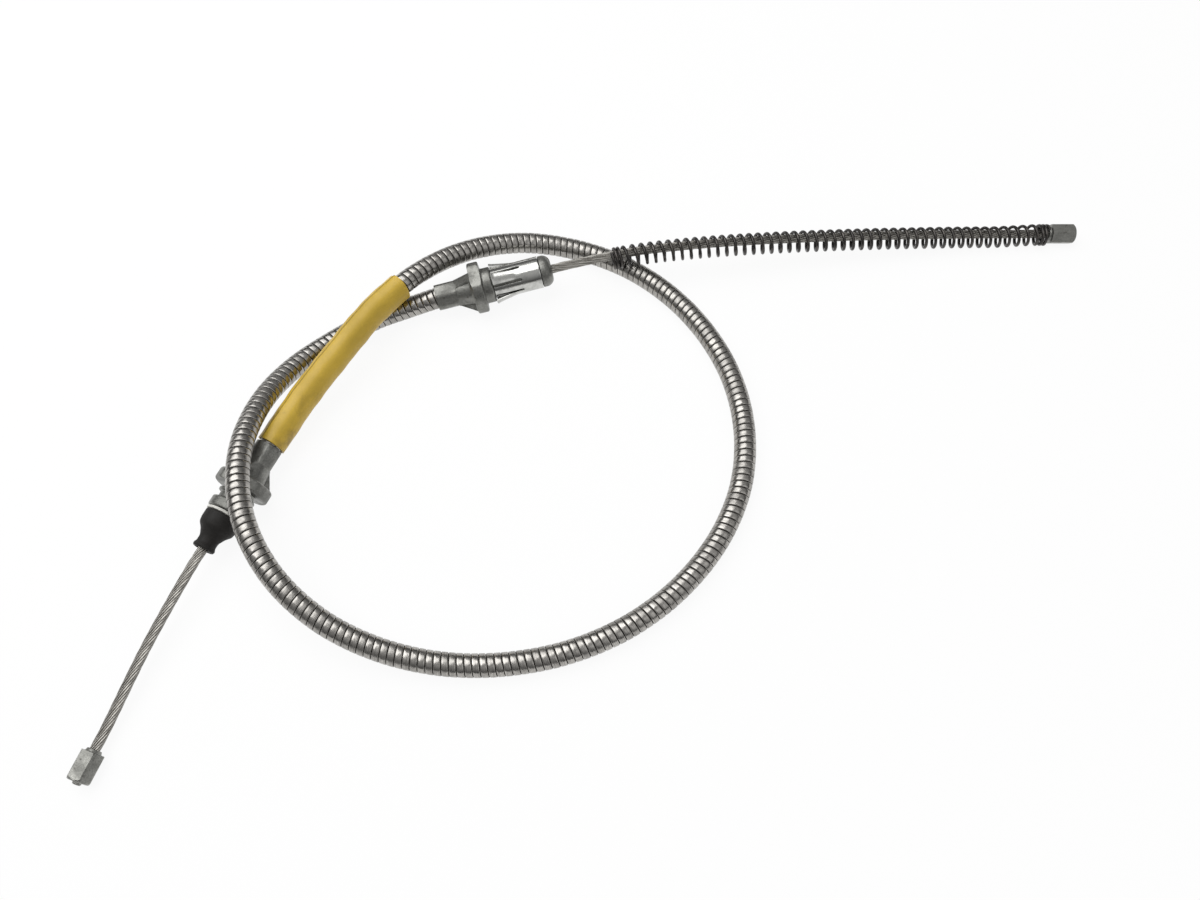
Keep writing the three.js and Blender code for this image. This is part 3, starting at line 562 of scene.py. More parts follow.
def patina_group():
    """Broad patches, fine grain and dust: a colour, a roughness and a height for a worn surface."""
    group, inside, out = new_group(
        "Patina",
        [("Vector", "NodeSocketVector", (0, 0, 0)),
         ("Colour", "NodeSocketColor", (0.5, 0.5, 0.5, 1)),
         ("Patch Colour", "NodeSocketColor", (0.4, 0.4, 0.4, 1)),
         ("Patch Scale", "NodeSocketFloat", 60.0),
         ("Patch Amount", "NodeSocketFloat", 0.5),
         ("Grain Scale", "NodeSocketFloat", 1500.0),
         ("Grain Amount", "NodeSocketFloat", 0.3),
         ("Roughness", "NodeSocketFloat", 0.4),
         ("Roughness Spread", "NodeSocketFloat", 0.15)],
        [("Colour", "NodeSocketColor"), ("Roughness", "NodeSocketFloat"),
         ("Height", "NodeSocketFloat")])
    patch = ramp(group, noise(group, inside["Vector"], inside["Patch Scale"]), 0.35, 0.7)
    grain = noise(group, inside["Vector"], inside["Grain Scale"], detail=2.0, rough=0.7)
    colour = blend(group, maths(group, "MULTIPLY", patch, inside["Patch Amount"]),
                   inside["Colour"], inside["Patch Colour"])
    shade = maths(group, "SUBTRACT", grain, 0.5)
    shade = maths(group, "MULTIPLY_ADD", shade, inside["Grain Amount"])
    shade.node.inputs[2].default_value = 1.0
    tinted = add_node(group, "ShaderNodeVectorMath", {0: colour}, operation="SCALE")
    group.links.new(shade, tinted.inputs["Scale"])
    spread = maths(group, "MULTIPLY", maths(group, "SUBTRACT", patch, 0.5), inside["Roughness Spread"])
    group.links.new(tinted.outputs[0], out["Colour"])
    group.links.new(maths(group, "ADD", spread, inside["Roughness"]), out["Roughness"])
    group.links.new(grain, out["Height"])
    return group


def streak_group():
    """Fine drawn lines along U of a UV map, as rolling and drawing leave on strip and wire."""
    group, inside, out = new_group(
        "Drawn Lines",
        [("UV", "NodeSocketVector", (0, 0, 0)),
         ("Along", "NodeSocketFloat", 20.0),
         ("Across", "NodeSocketFloat", 3000.0)],
        [("Lines", "NodeSocketFloat")])
    parts = add_node(group, "ShaderNodeSeparateXYZ", {0: inside["UV"]})
    stretched = add_node(group, "ShaderNodeCombineXYZ", {
        0: maths(group, "MULTIPLY", parts.outputs[0], inside["Along"]),
        1: maths(group, "MULTIPLY", parts.outputs[1], inside["Across"])})
    group.links.new(noise(group, stretched.outputs[0], 1.0, detail=4.0, rough=0.65), out["Lines"])
    return group


def darkening_group():
    """Darkening where a mask is high, broken up by noise: stains on the castings, darker brown patches
    on the sleeve, and painted shade in the strip's groove and between the wire's strands.
    """
    group, inside, out = new_group(
        "Grime And Painted Shade",
        [("Vector", "NodeSocketVector", (0, 0, 0)),
         ("Mask", "NodeSocketFloat", 0.0),
         ("Colour", "NodeSocketColor", (0.5, 0.5, 0.5, 1)),
         ("Darkening Colour", "NodeSocketColor", (0.05, 0.045, 0.04, 1)),
         ("Scale", "NodeSocketFloat", 300.0),
         ("Break Up", "NodeSocketFloat", 0.4)],
        [("Colour", "NodeSocketColor"), ("Darkening", "NodeSocketFloat")])
    broken = maths(group, "MULTIPLY", noise(group, inside["Vector"], inside["Scale"]),
                   inside["Break Up"])
    darkening_share = maths(group, "SUBTRACT", maths(group, "MULTIPLY", inside["Mask"], 1.3), broken)
    darkening_share.node.use_clamp = True
    group.links.new(blend(group, darkening_share, inside["Colour"], inside["Darkening Colour"]), out["Colour"])
    group.links.new(darkening_share, out["Darkening"])
    return group


GROUP_BUILDERS = {"Patina": patina_group, "Drawn Lines": streak_group, "Grime And Painted Shade": darkening_group}


def use_group(tree, name, inputs):
    """A node that holds the shared group of that name, which is built once."""
    node = tree.nodes.new("ShaderNodeGroup")
    node.node_tree = bpy.data.node_groups.get(name) or GROUP_BUILDERS[name]()
    for key, value in inputs.items():
        if isinstance(value, bpy.types.NodeSocket):
            tree.links.new(value, node.inputs[key])
        else:
            node.inputs[key].default_value = value
    return node


def new_material(name):
    """A material with its tree, its Principled shader and its object coordinates."""
    material = bpy.data.materials.new(name)
    material.use_nodes = True
    tree = material.node_tree
    shader = tree.nodes["Principled BSDF"]
    where = tree.nodes.new("ShaderNodeTexCoord")
    return material, tree, shader, where.outputs


def rgba(colour, level=1.0):
    """A colour property as a socket value, made darker or lighter by level."""
    return (*[channel * level for channel in colour], 1.0)


def dress(tree, shader, colour, roughness):
    """Links a colour and a roughness that change over the surface to the shader."""
    tree.links.new(colour, shader.inputs["Base Color"])
    tree.links.new(roughness, shader.inputs["Roughness"])


def bump(tree, shader, height, distance, strength=1.0):
    """Raises the shader's surface by the height, in metres at strength 1."""
    node = add_node(tree, "ShaderNodeBump",
                    {"Height": height, "Distance": distance, "Strength": strength})
    tree.links.new(node.outputs[0], shader.inputs["Normal"])


def strip_material(colours):
    """Galvanised strip: lines along the strip, dull patches, and painted shade with some grime in the
    groove.
    """
    material, tree, shader, where = new_material("galvanised_strip")
    shader.inputs["Metallic"].default_value = 1.0
    groove = add_node(tree, "ShaderNodeAttribute", attribute_name="groove").outputs["Fac"]
    lines = use_group(tree, "Drawn Lines",
                      {"UV": where["UV"], "Along": 90.0, "Across": 4200.0}).outputs["Lines"]
    patina = use_group(tree, "Patina", {
        "Vector": where["Object"], "Colour": rgba(colours.strip, 1.1),
        "Patch Colour": rgba(colours.strip, 0.72), "Patch Scale": 160.0, "Patch Amount": 0.7,
        "Grain Scale": 1100.0, "Grain Amount": 1.1, "Roughness": 0.3, "Roughness Spread": 0.2})
    streaked = blend(tree, ramp(tree, lines, 0.42, 0.62), patina.outputs["Colour"],
                     rgba(colours.strip, 0.6))
    # Painted shade: the groove mask darkens the strip almost to black where the groove is deep, with
    # some grime.
    darkened = use_group(tree, "Grime And Painted Shade", {
        "Vector": where["Object"], "Mask": groove, "Colour": streaked,
        "Darkening Colour": (0.018, 0.016, 0.014, 1), "Scale": 700.0, "Break Up": 0.25})
    rough = maths(tree, "MULTIPLY_ADD", darkened.outputs["Darkening"], 0.4)
    tree.links.new(patina.outputs["Roughness"], rough.node.inputs[2])
    dress(tree, shader, darkened.outputs["Colour"], rough)
    bump(tree, shader, lines, 0.02 * MM, 0.6)
    return material


def wire_material(colours):
    """Stranded wire: the single wires as fine ridges, and painted shade with some grime between the
    strands and between the single wires.
    """
    material, tree, shader, where = new_material("wire_strands")
    shader.inputs["Metallic"].default_value = 1.0
    valley = add_node(tree, "ShaderNodeAttribute", attribute_name="valley").outputs["Fac"]
    parts = add_node(tree, "ShaderNodeSeparateXYZ", {0: where["UV"]})
    wave = maths(tree, "SINE", maths(tree, "MULTIPLY", parts.outputs[1], 2 * math.pi * RIDGES))
    patina = use_group(tree, "Patina", {
        "Vector": where["Object"], "Colour": rgba(colours.wire),
        "Patch Colour": rgba(colours.wire, 0.75), "Patch Scale": 250.0, "Patch Amount": 0.4,
        "Grain Scale": 2500.0, "Grain Amount": 0.25, "Roughness": 0.36, "Roughness Spread": 0.12})
    # Painted shade: the valleys between the strands and between the single wires are darkened, with
    # some grime.
    between = maths(tree, "MULTIPLY", ramp(tree, wave, 0.1, -0.9), 0.9)
    mask = maths(tree, "MAXIMUM", valley, between)
    darkened = use_group(tree, "Grime And Painted Shade", {
        "Vector": where["Object"], "Mask": mask, "Colour": patina.outputs["Colour"],
        "Darkening Colour": (0.09, 0.08, 0.068, 1), "Scale": 900.0, "Break Up": 0.35})
    dress(tree, shader, darkened.outputs["Colour"], patina.outputs["Roughness"])
    bump(tree, shader, wave, 0.14 * MM)
    return material


def zinc_material(colours, name="cast_zinc", level=1.0):
    """Die-cast zinc: a dull, grainy skin with darker patches and stains."""
    material, tree, shader, where = new_material(name)
    shader.inputs["Metallic"].default_value = 0.85
    patina = use_group(tree, "Patina", {
        "Vector": where["Object"], "Colour": rgba(colours.zinc, 1.12 * level),
        "Patch Colour": rgba(colours.zinc, 0.7 * level), "Patch Scale": 130.0,
        "Patch Amount": 0.8, "Grain Scale": 1300.0, "Grain Amount": 1.0,
        "Roughness": 0.43, "Roughness Spread": 0.2})
    stain = ramp(tree, noise(tree, where["Object"], 420.0), 0.55, 0.75)
    darkened = use_group(tree, "Grime And Painted Shade", {
        "Vector": where["Object"], "Mask": stain, "Colour": patina.outputs["Colour"],
        "Darkening Colour": rgba((0.10, 0.095, 0.085)), "Scale": 1100.0, "Break Up": 0.9})
    dress(tree, shader, darkened.outputs["Colour"], patina.outputs["Roughness"])
    bump(tree, shader, patina.outputs["Height"], 0.12 * MM, 0.5)
    return material


def plate_material(colours):
    """Bright plated sheet with duller patches and a fine grain."""
    material, tree, shader, where = new_material("bright_plate")
    shader.inputs["Metallic"].default_value = 1.0
    patina = use_group(tree, "Patina", {
        "Vector": where["Object"], "Colour": rgba(colours.plate, 1.15),
        "Patch Colour": rgba(colours.plate, 0.7), "Patch Scale": 220.0, "Patch Amount": 0.7,
        "Grain Scale": 1600.0, "Grain Amount": 0.25, "Roughness": 0.2, "Roughness Spread": 0.16})
    dress(tree, shader, patina.outputs["Colour"], patina.outputs["Roughness"])
    bump(tree, shader, patina.outputs["Height"], 0.03 * MM, 0.5)
    return material


def spring_material(colours):
    """Dark oiled spring wire, with its colour worn thin along the outside of the coils."""
    material, tree, shader, where = new_material("spring_steel")
    shader.inputs["Metallic"].default_value = 0.75
    worn = add_node(tree, "ShaderNodeAttribute", attribute_name="worn").outputs["Fac"]
    patina = use_group(tree, "Patina", {
        "Vector": where["Object"], "Colour": rgba(colours.spring),
        "Patch Colour": rgba(colours.spring, 0.5), "Patch Scale": 260.0, "Patch Amount": 0.7,
        "Grain Scale": 1800.0, "Grain Amount": 0.5, "Roughness": 0.34, "Roughness Spread": 0.2})
    rubbed = maths(tree, "MULTIPLY", worn, ramp(tree, noise(tree, where["Object"], 300.0), 0.4, 0.7))
    colour = blend(tree, maths(tree, "MULTIPLY", rubbed, 0.7), patina.outputs["Colour"],
                   (0.17, 0.155, 0.14, 1))
    dress(tree, shader, colour, patina.outputs["Roughness"])
    bump(tree, shader, patina.outputs["Height"], 0.03 * MM, 0.5)
    return material


def sleeve_material(colours):
    """Yellow vinyl: satin, darker brown in patches towards the end by fitting B, and a dark line by
    the seam.
    """
    material, tree, shader, where = new_material("yellow_sleeve")
    parts = add_node(tree, "ShaderNodeSeparateXYZ", {0: where["UV"]})
    patina = use_group(tree, "Patina", {
        "Vector": where["Object"], "Colour": rgba(colours.sleeve, 1.05),
        "Patch Colour": rgba(colours.sleeve, 0.8), "Patch Scale": 55.0, "Patch Amount": 0.6,
        "Grain Scale": 2200.0, "Grain Amount": 0.4, "Roughness": 0.42, "Roughness Spread": 0.12})
    # Darker brown towards the end by fitting B, in noisy patches.
    end = ramp(tree, parts.outputs[0], 0.45, -0.05)
    blotches = ramp(tree, noise(tree, where["Object"], 90.0, detail=5.0), 0.42, 0.72)
    share = add_node(tree, "ShaderNodeMath", {0: end, 1: 0.55, 2: 0.15}, operation="MULTIPLY_ADD")
    brown_patches = maths(tree, "MULTIPLY", blotches, share.outputs[0])
    darkened = use_group(tree, "Grime And Painted Shade", {
        "Vector": where["Object"], "Mask": brown_patches, "Colour": patina.outputs["Colour"],
        "Darkening Colour": (0.20, 0.125, 0.022, 1), "Scale": 1500.0, "Break Up": 0.25})
    turn = maths(tree, "FRACT", maths(tree, "ADD", parts.outputs[1], 0.5 - SEAM_TURN / 360))
    off_seam = maths(tree, "ABSOLUTE", maths(tree, "SUBTRACT", turn, 0.5))
    seam = maths(tree, "MULTIPLY", ramp(tree, off_seam, 0.012, 0.004), 0.8)
    lined = blend(tree, seam, darkened.outputs["Colour"], (0.08, 0.05, 0.012, 1))
    dress(tree, shader, lined, patina.outputs["Roughness"])
    bump(tree, shader, blotches, 0.08 * MM, 0.5)
    return material


def rubber_material(colours):
    """Matt black rubber with a grey bloom."""
    material, tree, shader, where = new_material("black_rubber")
    shader.inputs["Specular IOR Level"].default_value = 0.3
    patina = use_group(tree, "Patina", {
        "Vector": where["Object"], "Colour": rgba(colours.rubber),
        "Patch Colour": rgba((0.022, 0.02, 0.018)), "Patch Scale": 240.0, "Patch Amount": 0.5,
        "Grain Scale": 1500.0, "Grain Amount": 0.9, "Roughness": 0.66, "Roughness Spread": 0.15})
    dress(tree, shader, patina.outputs["Colour"], patina.outputs["Roughness"])
    bump(tree, shader, patina.outputs["Height"], 0.1 * MM, 0.6)
    return material


def plastic_material(colours, name):
    """Natural nylon, slightly soiled."""
    material, tree, shader, where = new_material(name)
    patina = use_group(tree, "Patina", {
        "Vector": where["Object"], "Colour": rgba(colours.nylon),
        "Patch Colour": rgba(colours.nylon, 0.6), "Patch Scale": 300.0, "Patch Amount": 0.5,
        "Grain Scale": 1500.0, "Grain Amount": 0.1, "Roughness": 0.4, "Roughness Spread": 0.1})
    dress(tree, shader, patina.outputs["Colour"], patina.outputs["Roughness"])
    bump(tree, shader, patina.outputs["Height"], 0.02 * MM, 0.4)
    return material


# Pieces along the run


def build_wire(sizes, colours):
    """The stranded wire.

    Its radius at angle a and place s is R (1 - d (1 - c)), where c is the square root of
    |cos(n/2 (a - 2 pi s / L))|. That gives n round strands that go once round in the lay
    length L, with valleys of depth d R. The rows stand close where the wire shows and far
    apart inside the conduit.
    """
    fine, coarse = 0.8 * MM, 6 * MM    # spacing of the rows
    place = np.unique(np.r_[
        np.arange(0, AT_BOOT, fine), np.arange(AT_BOOT, AT_MOUTH_A, coarse),
        np.arange(AT_MOUTH_A, WIRE_LENGTH, fine), WIRE_LENGTH])
    angle = turn_angles(sizes.strands * 10)
    twist = angle[None, :] - 2 * np.pi * place[:, None] / sizes.lay
    crown = np.sqrt(np.abs(np.cos(sizes.strands / 2 * twist)))
    radius = sizes.wire_radius * (1 - VALLEY_DEPTH * (1 - crown))
    radius = np.vstack([0 * radius[:1], radius, 0 * radius[:1]])
    place = np.r_[place[0], place, place[-1]]
    along = np.broadcast_to(place[:, None], radius.shape)
    points = WIRE_RUN.put(radius * np.sin(angle), along, radius * np.cos(angle))
    strand = np.vstack([twist[:1], twist, twist[-1:]])
    uv = np.stack([along, strand / (2 * np.pi)], axis=-1)
    valley = np.vstack([crown[:1], crown, crown[-1:]])
    # The valley mask tells the wire's material where to paint shade between the strands.
    wire = make_piece("wire_rope", points, wire_material(colours), uv=uv,
                      masks={"valley": np.clip(1.1 - 2.2 * valley, 0, 1)}, sharp=80)
    stand_for(wire, "inner_wire")
    return wire


def build_conduit(sizes, colours):
    """The wound strip.

    One turn's section is drawn as depths below the outside, and the point j of turn k at
    angle a stands at place p (k + u_j + a / (2 pi)), so that the turns join into one helix.
    What runs past the ends is held at the end and drawn in to the bore.
    """
    start, end = AT_NECK_B - CONDUIT_DEPTH, AT_NECK_A + CONDUIT_DEPTH
    sides, bore_step = 32, 4 * MM
    section = np.array([(0.00, 1.00), (0.03, 0.34), (0.075, 0.08), (0.2, 0.0),
                        (0.6, 0.01), (0.85, 0.06), (0.91, 0.3), (0.94, 1.0)])
    turns = math.ceil((end - start) / sizes.armour_pitch) + 2
    angle = turn_angles(sides)
    turn = (np.arange(turns)[:, None] - 1 + section[None, :, 0]).ravel()
    depth = np.tile(section[:, 1], turns) * sizes.groove_depth
    place = start + sizes.armour_pitch * (turn[:, None] + angle / (2 * np.pi))
    bore = sizes.armour_radius - STRIP_WALL
    inside = (place > start) & (place < end)
    radius = np.where(inside, (sizes.armour_radius - depth)[:, None], bore)
    place = np.clip(place, start, end)
    back = np.arange(end, start, -bore_step)
    back = np.broadcast_to(np.r_[back, start][:, None], (len(back) + 1, sides + 1))
    place, radius = np.vstack([place, back]), np.vstack([radius, np.full(back.shape, bore)])
    points = WIRE_RUN.put(radius * np.sin(angle), place, radius * np.cos(angle))
    u = np.vstack([(np.floor(turn)[:, None] + angle / (2 * np.pi)) * TURN_IN_UV, back])
    v = np.vstack([(turn - np.floor(turn))[:, None] * sizes.armour_pitch + 0 * angle, 0 * back])
    groove = np.vstack([np.repeat((depth / sizes.groove_depth)[:, None], sides + 1, 1),
                        np.ones(back.shape)])
    # The groove mask tells the strip's material where to paint shade in the groove.
    conduit = make_piece("wound_conduit", points, strip_material(colours),
                         uv=np.stack([u, v], axis=-1),
                         masks={"groove": np.clip(groove * 1.3 - 0.3, 0, 1)}, sharp=50)
    stand_for(conduit, "conduit_armour")
    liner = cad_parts["conduit_liner"]
    liner.data.materials.clear()
    liner.data.materials.append(plastic_material(colours, "liner_plastic"))


def build_sleeve(sizes, colours):
    """The rolled sleeve.

    A sheet goes once round and a lap further. Its radius is r + (t + gap) smoothstep,
    rising where it climbs over its own first edge, and the section sags by the slack. The
    ends are cut a little out of square, and two slow waves run round and along the sheet.
    """
    seam, lap = math.radians(SEAM_TURN), math.radians(SLEEVE_LAP)
    inner = sizes.armour_radius + sizes.sleeve_slack + GAP
    total = 2 * np.pi + lap
    around = np.linspace(0, total, 121)
    rise = np.clip((around - (total - 2 * lap)) / lap, 0, 1)
    climb = (sizes.sleeve_thickness + SLEEVE_LAP_GAP) * rise ** 2 * (3 - 2 * rise)
    angle = seam + total - around
    edge = np.linspace(0, 1, 5)
    outline_angle = np.r_[angle, np.full(3, angle[-1]), angle[::-1], np.full(4, angle[0])]
    wall = sizes.sleeve_thickness
    base = np.r_[climb, climb[-1] + wall * edge[1:4], climb[::-1] + wall,
                 climb[0] + wall * edge[3::-1]]
    share = np.linspace(0, 1, 107)[:, None]
    place = AT_NECK_B + SLEEVE_START + share * SLEEVE_LENGTH
    ripple = 0.09 * MM * np.sin(2 * np.pi * 5.3 * share + 2 * outline_angle)
    ripple = ripple + 0.06 * MM * np.sin(2 * np.pi * 11 * share - outline_angle + 1.3)
    radius = inner + base[None, :] + ripple
    skew = 0.5 * MM * np.sin(outline_angle + 0.6) * (2 * share - 1)
    along = np.broadcast_to(place, radius.shape) + skew
    side, lift = radius * np.sin(outline_angle), radius * np.cos(outline_angle)
    middle = inner + wall / 2
    close = middle / np.maximum(radius, 1e-9)
    rows = [(along[:1], side[:1] * close[:1], lift[:1] * close[:1]), (along, side, lift),
            (along[-1:], side[-1:] * close[-1:], lift[-1:] * close[-1:])]
    along, side, lift = [np.vstack(part) for part in zip(*rows)]
    points = WIRE_RUN.put(side, along, lift - sizes.sleeve_slack)
    u = np.vstack([share[:1], share, share[-1:]]) + 0 * side
    uv = np.stack([u, np.broadcast_to(outline_angle / (2 * np.pi), side.shape)], axis=-1)
    sleeve = make_piece("identification_sleeve", points, sleeve_material(colours), uv=uv, sharp=50)
    stand_for(sleeve, "id_sleeve")


def build_spring(sizes, colours):
    """The return spring.

    A round wire of radius w along a helix of radius R about an axis that leans on the inner
    wire: at turn n the middle of the wire stands at angle 2 pi n from straight up. The pitch
    of the open coils grows evenly towards the stop, and the coils at both ends lie close
    together.
    """
    dead, coils = SPRING_DEAD_COILS, sizes.spring_coils
    first = AT_STOP_A - GAP - SPRING_LENGTH
    dead_pitch = 2 * sizes.spring_wire + GAP
    open_pitch = (SPRING_LENGTH - 2 * dead * dead_pitch - 2 * sizes.spring_wire) / coils
    turns = coils + 2 * dead
    turn = np.linspace(0, turns, int(turns * 28) + 1)
    opened = np.clip(turn - dead, 0, coils)
    share = opened / coils
    eased = coils * (share + PITCH_GROWTH * (share ** 2 - share))
    place = first + sizes.spring_wire + eased * open_pitch + (turn - opened) * dead_pitch
    centre, along, across, up = WIRE_RUN.frames(place)
    middle = sizes.spring_radius - sizes.spring_wire
    slack = middle - sizes.spring_wire - sizes.wire_radius - SPRING_TOUCH
    drop = np.minimum(SPRING_DROP, centre[:, 2] - sizes.spring_radius)
    lean = np.sqrt(np.maximum(slack ** 2 - drop ** 2, 0))
    phase = 2 * np.pi * turn
    radial = across * np.sin(phase)[:, None] + up * np.cos(phase)[:, None]
    centre = centre + across * lean[:, None] - up * drop[:, None] + radial * middle
    around = turn_angles(12)
    rows = np.r_[0, np.arange(len(turn)), len(turn) - 1]
    thick = np.r_[0.0, np.full(len(turn), sizes.spring_wire), 0.0]
    out = radial[rows][:, None] * np.cos(around)[None, :, None]
    onward = along[rows][:, None] * np.sin(around)[None, :, None]
    points = centre[rows][:, None] + thick[:, None, None] * (out + onward)
    worn = np.broadcast_to(np.clip(np.cos(around), 0, 1) ** 3, points.shape[:2])
    spring = make_piece("coil_spring", points, spring_material(colours),
                        masks={"worn": worn}, sharp=60)
    stand_for(spring, "return_spring")


# Pieces turned about a fitting's axis


def placed(outline, start):
    """An outline in millimetres as (radius, place) pairs in metres, from its start."""
    return [(radius * MM, start + distance * MM) for radius, distance in outline]


def turned_points(axis, profile, angle, radius=None):
    """Points of a profile of (radius, place) carried round an axis."""
    radius = np.repeat(profile[:, :1], len(angle), axis=1) if radius is None else radius
    along = np.broadcast_to(profile[:, 1:], radius.shape)
    return axis.put(radius * np.sin(angle), along, radius * np.cos(angle))


def head_radius(profile, angle, flange_place):
    """Radius of a fitting's casting at each profile point and angle.

    The profile's own radius is limited by the crimped hexagon on the neck and by the two
    flats of the flange. Three ribs, each as thick as w and as high as h(s) above the axis, add
    min(h / cos a, w / (2 |sin a|)) round their own angle. The bore's points are further in
    than all of these and keep their radius.
    """
    base = np.repeat(profile[:, :1], len(angle), axis=1)
    place = profile[:, 1:]
    neck = soft_min(base, flat_limit(angle, NECK_HALF_FLATS, sides=6)[None, :], power=60)
    is_neck = (place < NECK_LENGTH) & (base > NECK_BORE_RADIUS + 0.25 * MM)
    flats = flat_limit(angle, FLANGE_HALF_HEIGHT, sides=2)[None, :]
    flange = soft_min(base, flats, power=60)
    is_flange = base > A_COLLAR_RADIUS + 0.5 * MM
    radius = np.where(is_neck, neck, np.where(is_flange, flange, base))
    rib_share = np.clip((place - NECK_LENGTH) / (flange_place - NECK_LENGTH), 0, 1)
    rib_top = RIB_START_RADIUS + (RIB_END_RADIUS - RIB_START_RADIUS) * rib_share
    on_ribs = (place >= NECK_LENGTH - 0.6 * MM) & (place <= flange_place + 0.1 * MM)
    on_ribs = on_ribs & (base > NECK_BORE_RADIUS + 0.55 * MM)
    least = 0.2    # of the cosine, so that a rib shows on its own side only
    for turn in (0, 2 * np.pi / 3, -2 * np.pi / 3):
        sine = np.maximum(np.abs(np.sin(angle - turn)), 1e-4)
        cosine = np.cos(angle - turn)
        top = rib_top / np.maximum(cosine, least)
        side = RIB_HALF_THICKNESS / sine + 0 * top
        rib = np.where(cosine > least, soft_min(top, side, power=30), 1e-4)
        radius = np.where(on_ribs, soft_max(radius, rib, power=50), radius)
    return radius


def build_casting(name, node, axis, flange_place, beyond, bore, material):
    """A casting: its head, the outline beyond the flange, and the bore back to the neck."""
    outside = [
        (NECK_BORE_RADIUS, 0), (NECK_ROUND_RADIUS, 0), (NECK_ROUND_RADIUS, NECK_LENGTH),
        (CONE_START_RADIUS, NECK_LENGTH + CONE_STEP), (CONE_END_RADIUS, flange_place),
        (FLANGE_RADIUS, flange_place), (FLANGE_RADIUS, flange_place + FLANGE_THICKNESS), *beyond]
    inside = [*bore, (LINER_HOLE_RADIUS, CONDUIT_DEPTH + GAP),
              (NECK_BORE_RADIUS, CONDUIT_DEPTH + GAP), (NECK_BORE_RADIUS, 0)]
    profile = with_step(rounded(outside, CAST_ROUNDING, 4), 0.5 * MM)
    profile = np.vstack([profile, inside])
    angle = turn_angles(216)
    radius = head_radius(profile, angle, flange_place)
    piece = make_piece(name, turned_points(axis, profile, angle, radius), material, sharp=35)
    stand_for(piece, node)


def build_fitting_a(colours):
    """Fitting A: the casting with its nose, and the bright retainer trapped on its barrel."""
    collar = A_FLANGE_PLACE + FLANGE_THICKNESS
    beyond = [
        (A_COLLAR_RADIUS, collar), (A_COLLAR_RADIUS, A_BARREL_PLACE),
        (A_BARREL_RADIUS, A_BARREL_PLACE), (A_BARREL_RADIUS, A_NOSE_PLACE),
        *placed(NOSE_OUTLINE, A_NOSE_PLACE), (WIRE_HOLE_RADIUS, A_LENGTH)]
    bore = [(WIRE_HOLE_RADIUS, A_NOSE_PLACE + GAP), (LINER_HOLE_RADIUS, A_NOSE_PLACE + GAP)]
    build_casting("fitting_a_casting", "fitting_a_body", AXIS_A, A_FLANGE_PLACE, beyond, bore,
                  zinc_material(colours))
    build_retainer(colours)


def build_retainer(colours):
    """The fingered sleeve.

    A sheet on a grid of angle and place. In each quarter the columns are a web, a slot, a
    finger and a slot, and a slot's two columns run together at its round end, where the
    sheet closes. With t from 0 at a finger's bend to 1 at its tip, its radius grows by the
    flare times t to the power 1.15, and the last stretch curls out with its square.
    """
    start, end = A_BARREL_PLACE + GAP, A_NOSE_PLACE - GAP
    slot_end, bend = start + FINGER_LENGTH, start + FINGER_BEND
    round_start = slot_end - SLOT_HALF_WIDTH
    place = np.unique(np.r_[
        np.linspace(start, round_start, 26),
        round_start + SLOT_HALF_WIDTH * np.sin(np.linspace(0, np.pi / 2, 9)),
        np.linspace(slot_end, end, 16)])
    past = np.clip((place - round_start) / SLOT_HALF_WIDTH, 0, 1)
    width = SLOT_HALF_WIDTH * np.sqrt(1 - past ** 2)
    middle = FINGER_HALF_WIDTH + SLOT_HALF_WIDTH
    quarter = np.pi / 2 * RETAINER_RADIUS
    across_finger, across_web = np.linspace(-1, 1, 15), np.linspace(0, 1, 13)
    columns, on_finger, is_slot = [], [], []
    for number in range(4):
        origin = quarter * number
        finger = across_finger * (middle - width)[:, None]
        web_low, web_high = middle + width, quarter - middle - width
        web = web_low[:, None] + (web_high - web_low)[:, None] * across_web
        for column, share in ((finger, 1), (web, 0)):
            columns.append(origin + column)
            on_finger += [share] * column.shape[1]
            is_slot += [0] * (column.shape[1] - 1) + [1]
    around = np.hstack(columns + [columns[0][:, :1] + 4 * quarter])
    on_finger = np.array(on_finger + [1.0])
    angle = around / RETAINER_RADIUS + math.radians(FINGER_TURN)
    lift = FINGER_FLARE * np.clip((bend - place) / FINGER_BEND, 0, 1) ** 1.15
    tip = np.clip(1 - (place - start) / FINGER_TIP, 0, 1)
    out = RETAINER_RADIUS + (lift + FINGER_CURL * tip ** 2)[:, None] * on_finger
    faces = grid_faces(*around.shape).reshape(len(place) - 1, around.shape[1] - 1, 4)
    open_slot = np.array(is_slot, bool)[None, :] & (place[:-1] < slot_end - 1e-9)[:, None]
    points = AXIS_A.put(out * np.sin(angle), np.broadcast_to(place[:, None], out.shape),
                        out * np.cos(angle))
    piece = make_piece("fitting_a_fingers", points, plate_material(colours),
                       faces=faces[~open_slot], sharp=40)
    thicken(piece, RETAINER_SHEET, RETAINER_EDGE)
    stand_for(piece, "fitting_a_retainer")


def thicken(piece, wall, edge):
    """Gives an open sheet its wall, inwards, and a small round on its edges."""
    work = bmesh.new()
    work.from_mesh(piece.data)
    centre = Vector(np.mean([v.co for v in work.verts], axis=0))
    work.normal_update()
    outward = sum((f.calc_center_median() - centre).dot(f.normal) for f in work.faces)
    if outward < 0:
        bmesh.ops.reverse_faces(work, faces=work.faces)
    work.to_mesh(piece.data)
    work.free()
    solid = piece.modifiers.new("Wall", "SOLIDIFY")
    solid.thickness = wall
    solid.offset = -1
    solid.use_even_offset = True
    rim = piece.modifiers.new("Edges", "BEVEL")
    rim.width = edge
    rim.segments = 2
    rim.limit_method = "ANGLE"
    rim.angle_limit = math.radians(50)


